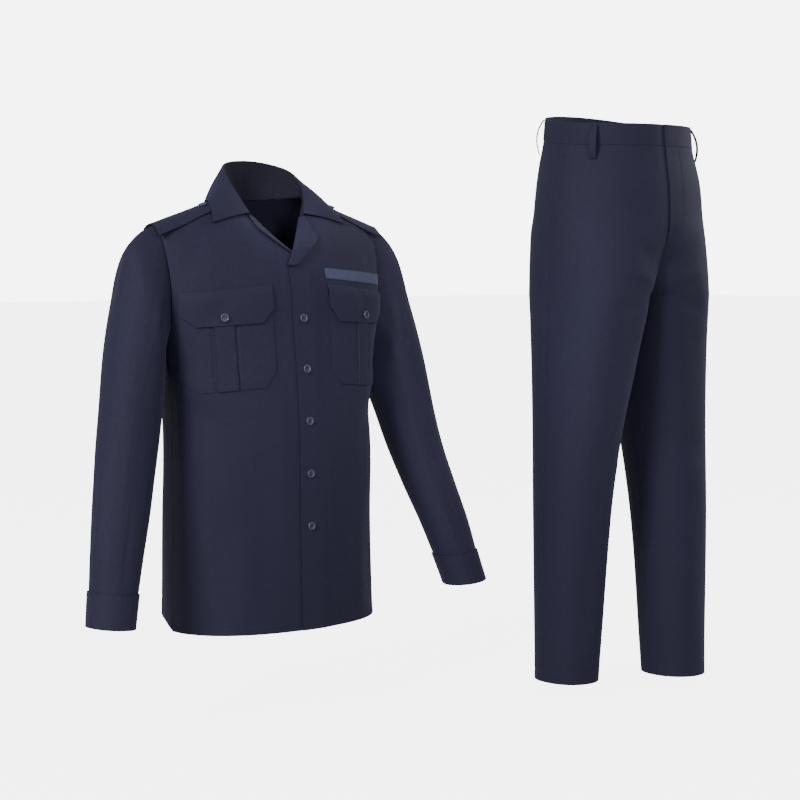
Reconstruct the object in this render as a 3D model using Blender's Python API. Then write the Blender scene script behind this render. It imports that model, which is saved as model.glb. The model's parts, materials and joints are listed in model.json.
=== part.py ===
"""Flame-resistant uniform: a long-sleeved shirt and its trousers, filled out with no wearer.

Units are metres, +Z is up, both garments face -Y and the wearer's left is +X.
The origin is the middle of the shirt's shoulders, where the neck leaves them.
Every cloth piece is a wall of CLOTH thickness, a SEAM away from what it is sewn to.
The left-hand pieces are worked out with l = +X, and the right-hand ones are their mirror.
"""
import math

import bpy
import numpy as np

# Cloth
CLOTH = 0.0016
SEAM = 0.0003
FIRM = 0.0022

# Shirt body: one row for each height, in a fuller general figure's sizes
SHIRT_Z = (-0.748, -0.560, -0.380, -0.290, -0.200, -0.105, 0.020)
SHIRT_HALF_WIDTH = (0.202, 0.198, 0.198, 0.206, 0.223, 0.231, 0.240)
SHIRT_FRONT = (0.122, 0.117, 0.113, 0.105, 0.095, 0.095, 0.095)
SHIRT_BACK = (0.155, 0.155, 0.148, 0.142, 0.138, 0.138, 0.138)
SHIRT_SQUARENESS = 2.2
CHEST_Z = -0.200
SIDE_F = -0.010
SHOULDER_F = -0.015
FRONT_SHOULDER_POWER = 1.65
BACK_SHOULDER_POWER = 2.0
NECK_HALF_WIDTH = 0.074
NECK_SIDE_Z = 0.005
SHOULDER_FALL = 0.35
SHOULDER_TIP = 0.228
SHOULDER_BODY = 0.190
NECK_BACK_Z = -0.002

# Shirt fronts: heights of the rows, and how far each drops per metre outwards
FRONT_ROW_Z = (-0.748, -0.690, -0.610, -0.530, -0.450, -0.380, -0.323, -0.297,
               -0.256, -0.214, -0.190, -0.170, -0.150, -0.140, -0.122)
FRONT_ROW_DROP = (0.0, 0.0, 0.0, 0.0, 0.0, 0.03, 0.08, 0.07,
                  0.06, 0.06, 0.08, 0.09, 0.10, 0.09, 0.08)
FRONT_FAN = (0.22, 0.42, 0.58, 0.72, 0.84, 0.93, 1.0)
OVERLAP_COLUMNS = (-0.020, -0.010, 0.0, 0.010, 0.020, 0.039)
OVERLAP_LIFT = CLOTH + 0.0015
LIFT_END = 0.055
POCKET_INNER = 0.059
POCKET_COLUMNS = (0.0, 0.135, 0.30, 0.466, 0.581, 0.696, 0.865, 1.0)
POCKET_OUTER_Z = (-0.748, -0.400, -0.330, -0.220, -0.167, -0.120)
POCKET_OUTER_L = (0.195, 0.195, 0.199, 0.207, 0.210, 0.213)
FRONT_ARMHOLE_Z = (-0.31, -0.26, -0.20, -0.16, -0.105, -0.06)
FRONT_ARMHOLE_L = (0.2045, 0.211, 0.2165, 0.2175, 0.221, 0.228)

# Rows and columns of the fronts that other pieces follow
POCKET_BOTTOM_ROW = 6
UNDERARM_ROW = 7
FLAP_BOTTOM_ROW = 9
FLAP_TOP_ROW = 12
TAPE_BOTTOM_ROW = 13
TAPE_TOP_ROW = 14
POCKET_FIRST_COLUMN = 6
POCKET_LAST_COLUMN = 13
PLEAT_FIRST_COLUMN = 9
PLEAT_LAST_COLUMN = 11

# The line that each lapel turns over, from the front edge to the neck's side
ROLL_AT = (0.0, 0.10, 0.24, 0.42, 0.68, 0.86, 1.0)
ROLL_L = (-0.020, -0.0145, 0.000, 0.021, 0.045, 0.060, 0.074)
ROLL_Z = (-0.122, -0.103, -0.088, -0.070, -0.044, -0.020, 0.005)
UNDER_ROLL_Z = (-0.122, -0.115, -0.108, -0.082, -0.044, -0.020, 0.005)
ROLL_BEHIND_CHEST = (0.0, 0.0, 0.0, 0.014, 0.026, 0.022, 0.0)
ROLL_REACH = 0.14

# Shirt back
BACK_ROW_Z = (-0.748, -0.650, -0.540, -0.450, -0.380, -0.315, -0.265, -0.215, -0.170, -0.130)
BACK_FAN = (0.25, 0.46, 0.64, 0.79, 0.91, 1.0)
BACK_COLUMNS = 9
HEM_NOTCH = 0.026
HEM_NOTCH_COLUMN = 7.0
HEM_NOTCH_REACH = 2.2
NECK_STEP = 3
BACK_UNDERARM_ROW = 5
BACK_ARMHOLE_Z = (-0.315, -0.265, -0.200, -0.130, -0.06)
BACK_ARMHOLE_L = (0.2045, 0.205, 0.203, 0.210, 0.228)

# Sleeves: a row for each ring, from the armhole to the cuff
SLEEVE_INNER_L = (0.213, 0.2165, 0.220, 0.2245, 0.232, 0.243, 0.257, 0.277, 0.300, 0.321)
SLEEVE_INNER_Z = (-0.322, -0.328, -0.336, -0.346, -0.365, -0.410, -0.465, -0.530, -0.595, -0.659)
SLEEVE_OUTER_L = (0.256, 0.281, 0.297, 0.313, 0.329, 0.346, 0.360, 0.375, 0.389, 0.401)
SLEEVE_OUTER_Z = (-0.062, -0.092, -0.158, -0.220, -0.290, -0.385, -0.455, -0.520, -0.585, -0.651)
SLEEVE_MIDDLE_F = (-0.024, -0.022, -0.018, -0.012, -0.004, 0.008, 0.021, 0.038, 0.056, 0.072)
SLEEVE_HALF_DEPTH = (0.058, 0.064, 0.066, 0.065, 0.061, 0.054, 0.049, 0.046, 0.043, 0.041)
ARMHOLE_SHARE = (0.70, 0.40, 0.18, 0.05, 0.0, 0.0, 0.0, 0.0, 0.0, 0.0)
CUFF_LENGTH = 0.054
CUFF_OVER_SLEEVE = 0.05
CUFF_TAPER = 0.96
CUFF_BUTTON_COLUMN = 4.0

# Collar: stations from the notch at the front, over the shoulder, to the middle of the back
COLLAR_AT = (0.0, 0.15, 0.30, 0.50, 0.68, 0.84, 1.0)
COLLAR_FOLD_L = (0.0575, 0.067, 0.074, 0.070, 0.054, 0.029, 0.0)
COLLAR_FOLD_F = (0.017, 0.004, -0.015, -0.044, -0.066, -0.080, -0.0845)
COLLAR_FOLD_Z = (-0.026, -0.002, 0.026, 0.050, 0.061, 0.067, 0.069)
COLLAR_LEAF_L = (0.138, 0.129, 0.121, 0.104, 0.077, 0.039, 0.0)
COLLAR_LEAF_F = (0.028, 0.008, -0.014, -0.052, -0.080, -0.094, -0.098)
COLLAR_LEAF_LIFT = 0.0055
COLLAR_CLEAR = 0.0025
COLLAR_LEAF_BULGE = 0.004
COLLAR_FRONT_ROWS = (18.4, 19.0, 20.0, 21.0)
COLLAR_BACK_STEPS = (0.5, 1.0, 1.5, 2.0, 2.5, 3.0)
FOLD_RADIUS = 0.0010

# Lapels: rows of the front that they lie on, and how many columns wide they are there
LEFT_LAPEL_ROW = (14.06, 14.14, 14.36, 14.6, 14.9, 15.25, 15.65, 16.1, 16.7, 17.5, 18.3)
LEFT_LAPEL_COLUMN = (0.6, 1.3, 1.9, 2.8, 4.0, 4.6, 4.7, 4.1, 3.4, 2.3, 1.0)
RIGHT_LAPEL_ROW = (15.35, 15.6, 16.0, 16.4, 16.8, 17.2, 17.8, 18.3)
RIGHT_LAPEL_COLUMN = (0.6, 1.8, 3.0, 3.6, 3.3, 2.7, 1.8, 1.0)
LAPEL_SHARES = (0.25, 0.5, 0.75, 1.0)
LAPEL_RADIUS_LOW = 0.0036
LAPEL_RADIUS_HIGH = 0.0018

# Small shirt pieces
POCKET_CLOTH = 0.0012
PLEAT_RISE = 0.0014
PLEAT_STEP = 0.03
FLAP_LIFT = 0.0034
TAPE_THICK = 0.0014
BUTTON_RADIUS = 0.0074
BUTTON_THICKNESS = 0.0030
BUTTON_SIDES = 14
BUTTON_CLEAR = 0.0006
BUTTON_Z = (-0.106, -0.208, -0.295, -0.385, -0.476, -0.567)
BUTTON_COLUMN = (1.0, 2.0, 2.0, 2.0, 2.0, 2.0)
BUTTON_LIFT = (0.0010, 0.0006, 0.0006, 0.0006, 0.0006, 0.0006)
FLAP_BUTTON_ROW = 9.62
FLAP_BUTTON_COLUMN = 10.0
EPAULETTE_L = (0.116, 0.122, 0.132, 0.155, 0.180, 0.204, 0.220, 0.232)
EPAULETTE_MIDDLE_F = (-0.008, -0.008, -0.009, -0.010, -0.011, -0.013, -0.014, -0.015)
EPAULETTE_HALF_WIDTH = (0.009, 0.0155, 0.0190, 0.0200, 0.0212, 0.0226, 0.0240, 0.0250)
EPAULETTE_LIFT = (0.0010, 0.0010, 0.0010, 0.0010, 0.0014, 0.0018, 0.0018, 0.0022)
EPAULETTE_THICK = 0.0024
EPAULETTE_ACROSS = (-1.0, -0.6, -0.2, 0.2, 0.6, 1.0)
EPAULETTE_BUTTON_L = 0.1335

# Trousers: where their waist stands beside the shirt, and a row for each height
TROUSERS_AT = (0.582, -0.2705)
WAIST_RISE_BACK = 0.027
WAIST_RISE_POWER = 2.4
RISE_FADES_TO = -0.020
CROTCH_FROM = -0.020
CROTCH_Z = -0.170
CROTCH_POWER = 1.35
WAIST_TOP = 0.133
WAIST_Z = 0.094
LEG_Z = (0.133, 0.094, 0.020, -0.050, -0.110, -0.170, -0.260, -0.400, -0.570, -0.877)
LEG_OUTER = (0.137, 0.141, 0.160, 0.167, 0.170, 0.171, 0.176, 0.177, 0.170, 0.157)
LEG_FRONT = (0.117, 0.120, 0.129, 0.131, 0.126, 0.120, 0.107, 0.092, 0.078, 0.065)
LEG_BACK = (0.121, 0.123, 0.135, 0.135, 0.122, 0.110, 0.095, 0.081, 0.068, 0.055)
LEG_MIDDLE_F = (0.001, 0.001, 0.003, 0.003, 0.003, 0.003, 0.004, 0.007, 0.011, 0.014)
LEG_STRIDE = (0.0, 0.0, 0.0, 0.0, 0.0, 0.0, 0.0, 0.005, 0.020, 0.036)
LEG_INSIDE_SQUARE = (2.2, 2.2, 2.2, 2.2, 2.3, 3.4, 2.9, 2.0, 2.0, 2.0)
LEG_CENTRE_Z = (-0.170, -0.265, -0.400, -0.877)
LEG_CENTRE = (0.0855, 0.0925, 0.0990, 0.1010)
LEG_SQUARE = 2.15

# Rows of the trouser panels from hem to waist: heights on the outside and on the inside
LEG_ROW_OUTSIDE = (-0.877, -0.790, -0.700, -0.610, -0.520, -0.440, -0.370, -0.310, -0.262, -0.226,
                   -0.200, -0.182, -0.166, -0.150, -0.133, -0.113, -0.088, -0.056, -0.020, 0.020,
                   0.060, 0.094)
LEG_ROW_INSIDE = (-0.877, -0.790, -0.700, -0.610, -0.520, -0.440, -0.370, -0.310, -0.258, -0.218,
                  -0.188, -0.170, -0.1693, -0.1675, -0.163, -0.152, -0.132, -0.095, -0.050, 0.0,
                  0.050, 0.094)
CROTCH_ROW = 11
FLY_ROW = 18
LEG_ANGLES = (0.0, 14.0, 28.0, 42.0, 57.0, 72.0, 88.0, 105.0, 122.0, 138.0, 154.0)
LEG_ANGLE_ROOM = 0.09
LEG_PROBE = 0.0005
FLY_UNDERLAP = 0.014
FLY_SINK = CLOTH + 0.0008
FLY_SINK_FADE = 0.012
WAISTBAND_STEPS = 26
WAISTBAND_SINK = FIRM + 0.0008
BELT_LOOP_COLUMNS = (4, 9, 13, 17, 22)
BELT_LOOP_CLEAR = 0.0008
BELT_LOOP_FROM_TOP = 0.003
BELT_LOOP_HALF_WIDTH = 0.0065
BELT_LOOP_THICK = 0.0018
BELT_LOOP_BELOW = 0.024
BELT_LOOP_BOW = 0.0105
BELT_LOOP_POINTS = 9

NAVY = (0.0242, 0.0265, 0.0560)
SLATE = (0.055, 0.068, 0.120)
BUTTON_BLUE = (0.085, 0.095, 0.170)


def clear_scene():
    """Removes what a new file holds."""
    for item in list(bpy.data.objects):
        bpy.data.objects.remove(item)


def finish(name, colour, roughness):
    """A plain finish for one sub-part."""
    material = bpy.data.materials.new(name)
    material.use_nodes = True
    shader = material.node_tree.nodes["Principled BSDF"]
    shader.inputs["Base Color"].default_value = (*colour, 1.0)
    shader.inputs["Roughness"].default_value = roughness
    shader.inputs["Metallic"].default_value = 0.0
    return material


def curve(at, values):
    """A smooth function through the values of a table's column."""
    at = np.asarray(at, float)
    values = np.asarray(values, float)
    if at[0] > at[-1]:
        at, values = at[::-1], values[::-1]
    slopes = np.gradient(values, at, axis=0)

    def read(x):
        x = min(max(x, at[0]), at[-1])
        k = min(int(np.searchsorted(at, x, side="right")) - 1, len(at) - 2)
        span = at[k + 1] - at[k]
        t = (x - at[k]) / span
        return ((1 + 2 * t) * (1 - t) ** 2 * values[k] + t * (1 - t) ** 2 * span * slopes[k]
                + t * t * (3 - 2 * t) * values[k + 1] + t * t * (t - 1) * span * slopes[k + 1])

    return read


def smooth_step(x):
    """A soft step from 0 at 0 to 1 at 1."""
    x = min(max(x, 0.0), 1.0)
    return x * x * (3 - 2 * x)


def unit(vectors):
    """The same directions at length 1."""
    return vectors / np.linalg.norm(vectors, axis=-1, keepdims=True)


def point(l, f, z):
    """A place that is l to the wearer's left, f forward and z up."""
    return np.array((l, -f, z))


def grid_normals(points, around=False):
    """Unit normals of a grid of points; columns run anticlockwise seen from outside."""
    down = np.gradient(points, axis=0)
    if around:
        across = np.roll(points, -1, axis=1) - np.roll(points, 1, axis=1)
    else:
        across = np.gradient(points, axis=1)
    return unit(np.cross(across, down))


def square_to_seam(normals, axis):
    """Normals with no part along a seam's own axis, so that two walls meet face to face."""
    flat = normals.copy()
    flat[..., axis] = 0.0
    return unit(flat)


def patch_cells(rows, columns, around=False):
    """The four corners of each cell of a grid, anticlockwise seen from outside."""
    last = columns if around else columns - 1
    return [((i, j), (i, (j + 1) % columns), (i + 1, (j + 1) % columns), (i + 1, j))
            for i in range(rows - 1) for j in range(last)]


def wall(name, outer, inner, material, cells=None, around=False, mirrored=False, at=(0.0, 0.0)):
    """One closed solid between two grids of points."""
    cells = cells or patch_cells(len(outer), len(outer[0]), around)
    used = sorted({corner for cell in cells for corner in cell})
    place = {corner: k for k, corner in enumerate(used)}
    verts = [outer[i][j] for i, j in used] + [inner[i][j] for i, j in used]
    count = len(used)
    cuts = [(cell[0], cell[k], cell[k + 1]) for cell in cells for k in range(1, len(cell) - 1)]
    faces = [[place[corner] for corner in cut] for cut in cuts]
    faces += [[place[corner] + count for corner in reversed(cut)] for cut in cuts]
    edges = {(cell[k - 1], cell[k]) for cell in cells for k in range(len(cell))}
    for start, end in sorted(edges):
        if (end, start) not in edges:
            a, b = place[start], place[end]
            faces.append([b, a, a + count, b + count])
    side = -1.0 if mirrored else 1.0
    verts = [(side * v[0] + at[0], v[1] + at[1], v[2]) for v in verts]
    if mirrored:
        faces = [face[::-1] for face in faces]
    mesh = bpy.data.meshes.new(name)
    mesh.from_pydata(verts, [], faces)
    mesh.materials.append(material)
    mesh.shade_smooth()
    mesh.set_sharp_from_angle(angle=math.radians(40))
    thing = bpy.data.objects.new(name, mesh)
    bpy.context.scene.collection.objects.link(thing)
    return thing


class Panel:
    """A cut piece: the grid of its outer points, with the normals that give its thickness."""

    def __init__(self, points, normals):
        self.points = points
        self.normals = normals

    def at(self, row, column, lift=0.0):
        """A point on the panel, moved out; row and column may lie between its own lines."""
        i = min(int(row), len(self.points) - 2)
        j = min(int(column), len(self.points[0]) - 2)
        u, v = row - i, column - j
        total = 0.0
        for grid, share in ((self.points, 1.0), (self.normals, lift)):
            lower = grid[i][j] * (1 - v) + grid[i][j + 1] * v
            upper = grid[i + 1][j] * (1 - v) + grid[i + 1][j + 1] * v
            total = total + (lower * (1 - u) + upper * u) * share
        return total

    def build(self, name, material, mirrored=False, at=(0.0, 0.0)):
        return wall(name, self.points, self.points - self.normals * CLOTH, material,
                    mirrored=mirrored, at=at)


# Shirt body

half_width = curve(SHIRT_Z, SHIRT_HALF_WIDTH)
front_depth = curve(SHIRT_Z, SHIRT_FRONT)
back_depth = curve(SHIRT_Z, SHIRT_BACK)
pocket_outer = curve(POCKET_OUTER_Z, POCKET_OUTER_L)
front_armhole = curve(FRONT_ARMHOLE_Z, FRONT_ARMHOLE_L)
back_armhole = curve(BACK_ARMHOLE_Z, BACK_ARMHOLE_L)
roll_l = curve(ROLL_AT, ROLL_L)
roll_z = curve(ROLL_AT, ROLL_Z)
under_roll_z = curve(ROLL_AT, UNDER_ROLL_Z)
roll_behind = curve(ROLL_AT, ROLL_BEHIND_CHEST)


def shoulder_z(l):
    """Height of the shoulder line over the width l."""
    return NECK_SIDE_Z - SHOULDER_FALL * (abs(l) - NECK_HALF_WIDTH)


def shirt_f(l, z, back=False):
    """How far forward the shirt's outer face lies at the width l and the height z."""
    low = min(z, CHEST_Z)
    depth = -back_depth(low) if back else front_depth(low)
    share = min(abs(l) / half_width(z), 1.0)
    f = SIDE_F + (depth - SIDE_F) * (1 - share ** SHIRT_SQUARENESS) ** (1 / SHIRT_SQUARENESS)
    if z > CHEST_Z:
        power = BACK_SHOULDER_POWER if back else FRONT_SHOULDER_POWER
        climb = min((z - CHEST_Z) / (shoulder_z(l) - CHEST_Z), 1.0)
        f = SHOULDER_F + (f - SHOULDER_F) * (1 - climb ** power) ** (1 / power)
    return f


def round_the_side(l, z, share):
    """A width between l and the side, stepped by the turn of the body's section."""
    w = half_width(z)
    turn = math.asin(min((abs(l) / w) ** (SHIRT_SQUARENESS / 2), 1.0))
    outer = front_armhole(z) if z > FRONT_ARMHOLE_Z[0] else w
    end = math.asin(min((outer / w) ** (SHIRT_SQUARENESS / 2), 1.0))
    return w * math.sin(turn + (end - turn) * share) ** (2 / SHIRT_SQUARENESS)


def front_row(z_middle, drop):
    """Widths and heights of one row of a front below the lapel."""
    row = [(l, z_middle) for l in OVERLAP_COLUMNS]
    for share in POCKET_COLUMNS:
        z = z_middle - drop * share * (POCKET_OUTER_L[3] - POCKET_INNER)
        row.append((POCKET_INNER + (pocket_outer(z) - POCKET_INNER) * share, z))
    z = row[-1][1] - drop * 0.006
    for share in (0.5, 1.0):
        row.append((round_the_side(row[POCKET_LAST_COLUMN][0], z, share), z))
    return row


def front_panel(lifted):
    """Grid of a front: rows from hem to shoulder, columns from the front edge to the side."""
    neck_z = roll_z if lifted else under_roll_z
    rows = [front_row(z, drop) for z, drop in zip(FRONT_ROW_Z, FRONT_ROW_DROP)]
    points = [[point(l, shirt_f(l, z), z) for l, z in row] for row in rows]
    chest = rows[-1]
    edge = chest[0][0]
    span = chest[-1][0] - edge
    for k in FRONT_FAN:
        row = []
        for l, z in chest:
            top_l = NECK_HALF_WIDTH + (SHOULDER_TIP - NECK_HALF_WIDTH) * (l - edge) / span
            row_l = l + (top_l - l) * k
            row.append((row_l, z + (shoulder_z(row_l) - z) * math.sin(k * math.pi / 2)))
        pull_l = roll_l(k) - row[0][0]
        pull_z = neck_z(k) - row[0][1]
        for column, (l, _) in enumerate(chest):
            share = max(1 - (l - edge) / ROLL_REACH, 0.0) ** 2
            row_l = row[column][0] + pull_l * share
            row_z = row[column][1] + pull_z * share
            row[column] = point(row_l, shirt_f(row_l, row_z) - roll_behind(k) * share, row_z)
        points.append(row)
    points = np.array(points)
    normals = grid_normals(points)
    normals[:UNDERARM_ROW + 1, -1] = square_to_seam(normals[:UNDERARM_ROW + 1, -1], 1)
    normals[-1] = square_to_seam(normals[-1], 1)
    points[:UNDERARM_ROW + 1, -1, 1] -= SEAM / 2
    points[-1, :, 1] -= SEAM / 2
    if lifted:
        points = points + normals * front_lift(points)[..., None]
    return Panel(points, normals)


def front_lift(points):
    """How far the overlapping front stands off the one beneath it."""
    lift = np.zeros(points.shape[:2])
    for i, row in enumerate(points):
        for j, (l, _, z) in enumerate(row):
            near = smooth_step((LIFT_END - l) / (LIFT_END - 0.020))
            low = smooth_step((-0.055 - z) / 0.030)
            lift[i, j] = OVERLAP_LIFT * near * low
    return lift


def back_top_l(step):
    """Width of the back's top edge at a column, with the neck's side on column NECK_STEP."""
    if abs(step) <= NECK_STEP:
        return NECK_HALF_WIDTH * step / NECK_STEP
    share = (abs(step) - NECK_STEP) / (BACK_COLUMNS - NECK_STEP)
    return math.copysign(NECK_HALF_WIDTH + (SHOULDER_TIP - NECK_HALF_WIDTH) * share, step)


def hem_notch(step):
    """How much the back's hem rises behind each side seam."""
    return HEM_NOTCH * smooth_step(1 - abs(abs(step) - HEM_NOTCH_COLUMN) / HEM_NOTCH_REACH)


def back_panel():
    """Grid of the back: rows from hem to shoulder, columns from the right side to the left."""
    steps = range(-BACK_COLUMNS, BACK_COLUMNS + 1)
    points = []
    for z in BACK_ROW_Z:
        w = half_width(z)
        edge = back_armhole(z) if z > BACK_ARMHOLE_Z[0] else w
        end = math.asin(min((edge / w) ** (SHIRT_SQUARENESS / 2), 1.0))
        row = []
        for step in steps:
            turn = math.sin(abs(step) / BACK_COLUMNS * end) ** (2 / SHIRT_SQUARENESS)
            l = math.copysign(w * turn, step)
            row.append((l, z + hem_notch(step) * (z == BACK_ROW_Z[0])))
        points.append(row)
    chest = points[-1]
    for k in BACK_FAN:
        row = []
        for step, (l, z) in zip(steps, chest):
            top_l = back_top_l(step)
            top_z = shoulder_z(top_l)
            if abs(top_l) < NECK_HALF_WIDTH:
                top_z = NECK_BACK_Z + (NECK_SIDE_Z - NECK_BACK_Z) * (top_l / NECK_HALF_WIDTH) ** 2
            row.append((l + (top_l - l) * k, z + (top_z - z) * math.sin(k * math.pi / 2)))
        points.append(row)
    points = np.array([[point(l, shirt_f(l, z, True), z) for l, z in row] for row in points])
    points = points[:, ::-1]
    normals = grid_normals(points)
    for edge in (0, -1):
        normals[:BACK_UNDERARM_ROW + 1, edge] = square_to_seam(
            normals[:BACK_UNDERARM_ROW + 1, edge], 1)
        points[:BACK_UNDERARM_ROW + 1, edge, 1] += SEAM / 2
    on_shoulder = np.abs(points[-1, :, 0]) >= NECK_HALF_WIDTH - 0.002
    normals[-1, on_shoulder] = square_to_seam(normals[-1, on_shoulder], 1)
    points[-1, on_shoulder, 1] += SEAM / 2
    return Panel(points, normals)


def shirt_z(l, f):
    """Height of the shirt's shoulders at a place seen from above."""
    inside = min(l, SHOULDER_BODY)
    back = f < SHOULDER_F
    low, high = CHEST_Z, shoulder_z(inside)
    for _ in range(30):
        z = (low + high) / 2
        if (shirt_f(inside, z, back) < f) == back:
            low = z
        else:
            high = z
    return z - SHOULDER_FALL * (l - inside)


def square_to(direction, along):
    """A direction with no part along an edge."""
    along = unit(along)
    return unit(direction - along * np.sum(direction * along, axis=-1, keepdims=True))


def seam_start(edge, away, normals):
    """Where the next piece starts: a seam's gap past the edge and off its face."""
    return edge + SEAM * (away + normals)


def clear_of_edge(normals, away):
    """Normals that lean no part of a wall back over the edge that it is sewn to."""
    lean = np.maximum(np.sum(normals * away, axis=-1, keepdims=True), 0.0)
    return unit(normals - lean * away)


# Sleeves and cuffs

def armhole(front, back):
    """The edge of the left armhole, from the underarm up the back and down the front."""
    back_rows = range(BACK_UNDERARM_ROW + 1, len(back.points) - 1)
    front_rows = range(len(front.points) - 2, UNDERARM_ROW, -1)
    front_away = unit(front.points[:, -1] - front.points[:, -2])
    back_away = unit(back.points[:, 0] - back.points[:, 1])
    underarm = (front.points[UNDERARM_ROW, -1] + back.points[BACK_UNDERARM_ROW, 0]) / 2
    tip = (front.points[-1, -1] + back.points[-1, 0]) / 2
    side = np.array((1.0, 0.0, 0.0))
    upright = np.array((0.0, 0.0, 1.0))
    edge = [underarm] + [back.points[i, 0] for i in back_rows] + [tip]
    edge += [front.points[i, -1] for i in front_rows]
    away = [upright] + [back_away[i] for i in back_rows] + [unit(front_away[-1] + back_away[-1])]
    away += [front_away[i] for i in front_rows]
    normals = [side] + [back.normals[i, 0] for i in back_rows] + [front.normals[-1, -1]]
    normals += [front.normals[i, -1] for i in front_rows]
    edge = np.array(edge)
    away = square_to(np.array(away), np.roll(edge, -1, axis=0) - np.roll(edge, 1, axis=0))
    return edge, away, np.array(normals), len(back_rows) + 1


def ring_angles(edge, tip):
    """Angle of each armhole point round the sleeve: 0 at the underarm and pi at the tip."""
    loop = np.vstack((edge, edge[:1]))
    steps = np.linalg.norm(np.diff(loop, axis=0), axis=1)
    run = np.concatenate(((0.0,), np.cumsum(steps)))
    up = run[:tip + 1] / run[tip] * math.pi
    down = math.pi + (run[tip + 1:-1] - run[tip]) / (run[-1] - run[tip]) * math.pi
    return np.concatenate((up, down))


def ring(angles, inner, outer, middle_f, half_depth):
    """One ring of a sleeve between its inner and outer points, given as l and z."""
    inner, outer = np.array(inner), np.array(outer)
    points = []
    for angle in angles:
        l, z = (inner + outer) / 2 - (outer - inner) / 2 * math.cos(angle)
        points.append(point(l, middle_f - half_depth * math.sin(angle), z))
    return np.array(points)


def sleeve_grid(front, back):
    edge, away, normals, tip = armhole(front, back)
    angles = ring_angles(edge, tip)
    depth = (edge[:, 1].max() - edge[:, 1].min()) / 2
    middle = -(edge[:, 1].max() + edge[:, 1].min()) / 2
    plain = ring(angles, edge[0, ::2], edge[tip, ::2], middle, depth)
    rows = [seam_start(edge, away, normals)]
    for row in zip(SLEEVE_INNER_L, SLEEVE_INNER_Z, SLEEVE_OUTER_L, SLEEVE_OUTER_Z,
                   SLEEVE_MIDDLE_F, SLEEVE_HALF_DEPTH, ARMHOLE_SHARE):
        oval = ring(angles, row[0:2], row[2:4], row[4], row[5])
        rows.append(oval + (edge - plain) * row[6])
    points = np.array(rows)
    walls = grid_normals(points, around=True)
    walls[0] = clear_of_edge(walls[0], away)
    return points, walls


def cuff_grid(sleeve, sleeve_normals):
    """A cuff that takes in the end of its sleeve."""
    lift = FIRM + SEAM
    start = sleeve[-2] * CUFF_OVER_SLEEVE + sleeve[-1] * (1 - CUFF_OVER_SLEEVE)
    start_normals = unit(sleeve_normals[-2] * CUFF_OVER_SLEEVE
                         + sleeve_normals[-1] * (1 - CUFF_OVER_SLEEVE))
    centre = sleeve[-1].mean(axis=0)
    along = unit(centre - sleeve[-2].mean(axis=0))
    rows = [start + start_normals * lift, sleeve[-1] + sleeve_normals[-1] * lift]
    for share in (0.5, 1.0):
        size = 1 - (1 - CUFF_TAPER) * share
        ended = centre + (rows[1] - centre) * size + along * CUFF_LENGTH * share
        rows.append(ended)
    points = np.array(rows)
    return points, grid_normals(points, around=True)


# Pieces that lie on the fronts

def layer(panel, name, material, rows, columns, base, thick, cells=None, mirrored=False):
    """A piece made of a panel's own points, moved out; base and thick may follow the place."""
    inner = [[panel.at(r, c, base(r, c)) for c in columns] for r in rows]
    outer = [[panel.at(r, c, base(r, c) + thick(r, c)) for c in columns] for r in rows]
    return wall(name, outer, inner, material, cells=cells, mirrored=mirrored)


def cut_corners(rows, columns):
    """Cells of a grid whose two lower corners are cut off."""
    cells = []
    for cell in patch_cells(rows, columns):
        if cell[0] == (0, 0):
            cell = cell[1:]
        elif cell[1] == (0, columns - 1):
            cell = (cell[0], cell[2], cell[3])
        cells.append(cell)
    return cells


def pocket(panel, side, mirrored):
    rows = list(range(POCKET_BOTTOM_ROW, FLAP_TOP_ROW))
    pleat = (PLEAT_FIRST_COLUMN, PLEAT_LAST_COLUMN)
    columns = []
    for column in range(POCKET_FIRST_COLUMN, POCKET_LAST_COLUMN + 1):
        columns += [column - PLEAT_STEP, column + PLEAT_STEP] if column in pleat else [column]

    def thick(r, c):
        return POCKET_CLOTH + (PLEAT_RISE if pleat[0] < c < pleat[1] else 0.0)

    layer(panel, "pocket_" + side, finish("pocket_" + side, NAVY, 0.8), rows, columns,
          lambda r, c: SEAM, thick, cut_corners(len(rows), len(columns)), mirrored)


def flap_base(r, c):
    return SEAM if r > FLAP_TOP_ROW - 0.5 else FLAP_LIFT


def flap(panel, side, mirrored):
    rows = list(range(FLAP_BOTTOM_ROW, FLAP_TOP_ROW + 1))
    columns = list(range(POCKET_FIRST_COLUMN, POCKET_LAST_COLUMN + 1))
    layer(panel, "pocket_flap_" + side, finish("pocket_flap_" + side, NAVY, 0.8), rows, columns,
          flap_base, lambda r, c: CLOTH, cut_corners(len(rows), len(columns)), mirrored)
    button("button_flap_" + side, panel, FLAP_BUTTON_ROW, FLAP_BUTTON_COLUMN,
           FLAP_LIFT + CLOTH + BUTTON_CLEAR, mirrored)


def name_tape(panel):
    columns = list(range(POCKET_FIRST_COLUMN, POCKET_LAST_COLUMN + 1))
    layer(panel, "name_tape", finish("name_tape", SLATE, 0.75), (TAPE_BOTTOM_ROW, TAPE_TOP_ROW),
          columns, lambda r, c: SEAM, lambda r, c: TAPE_THICK)


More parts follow.
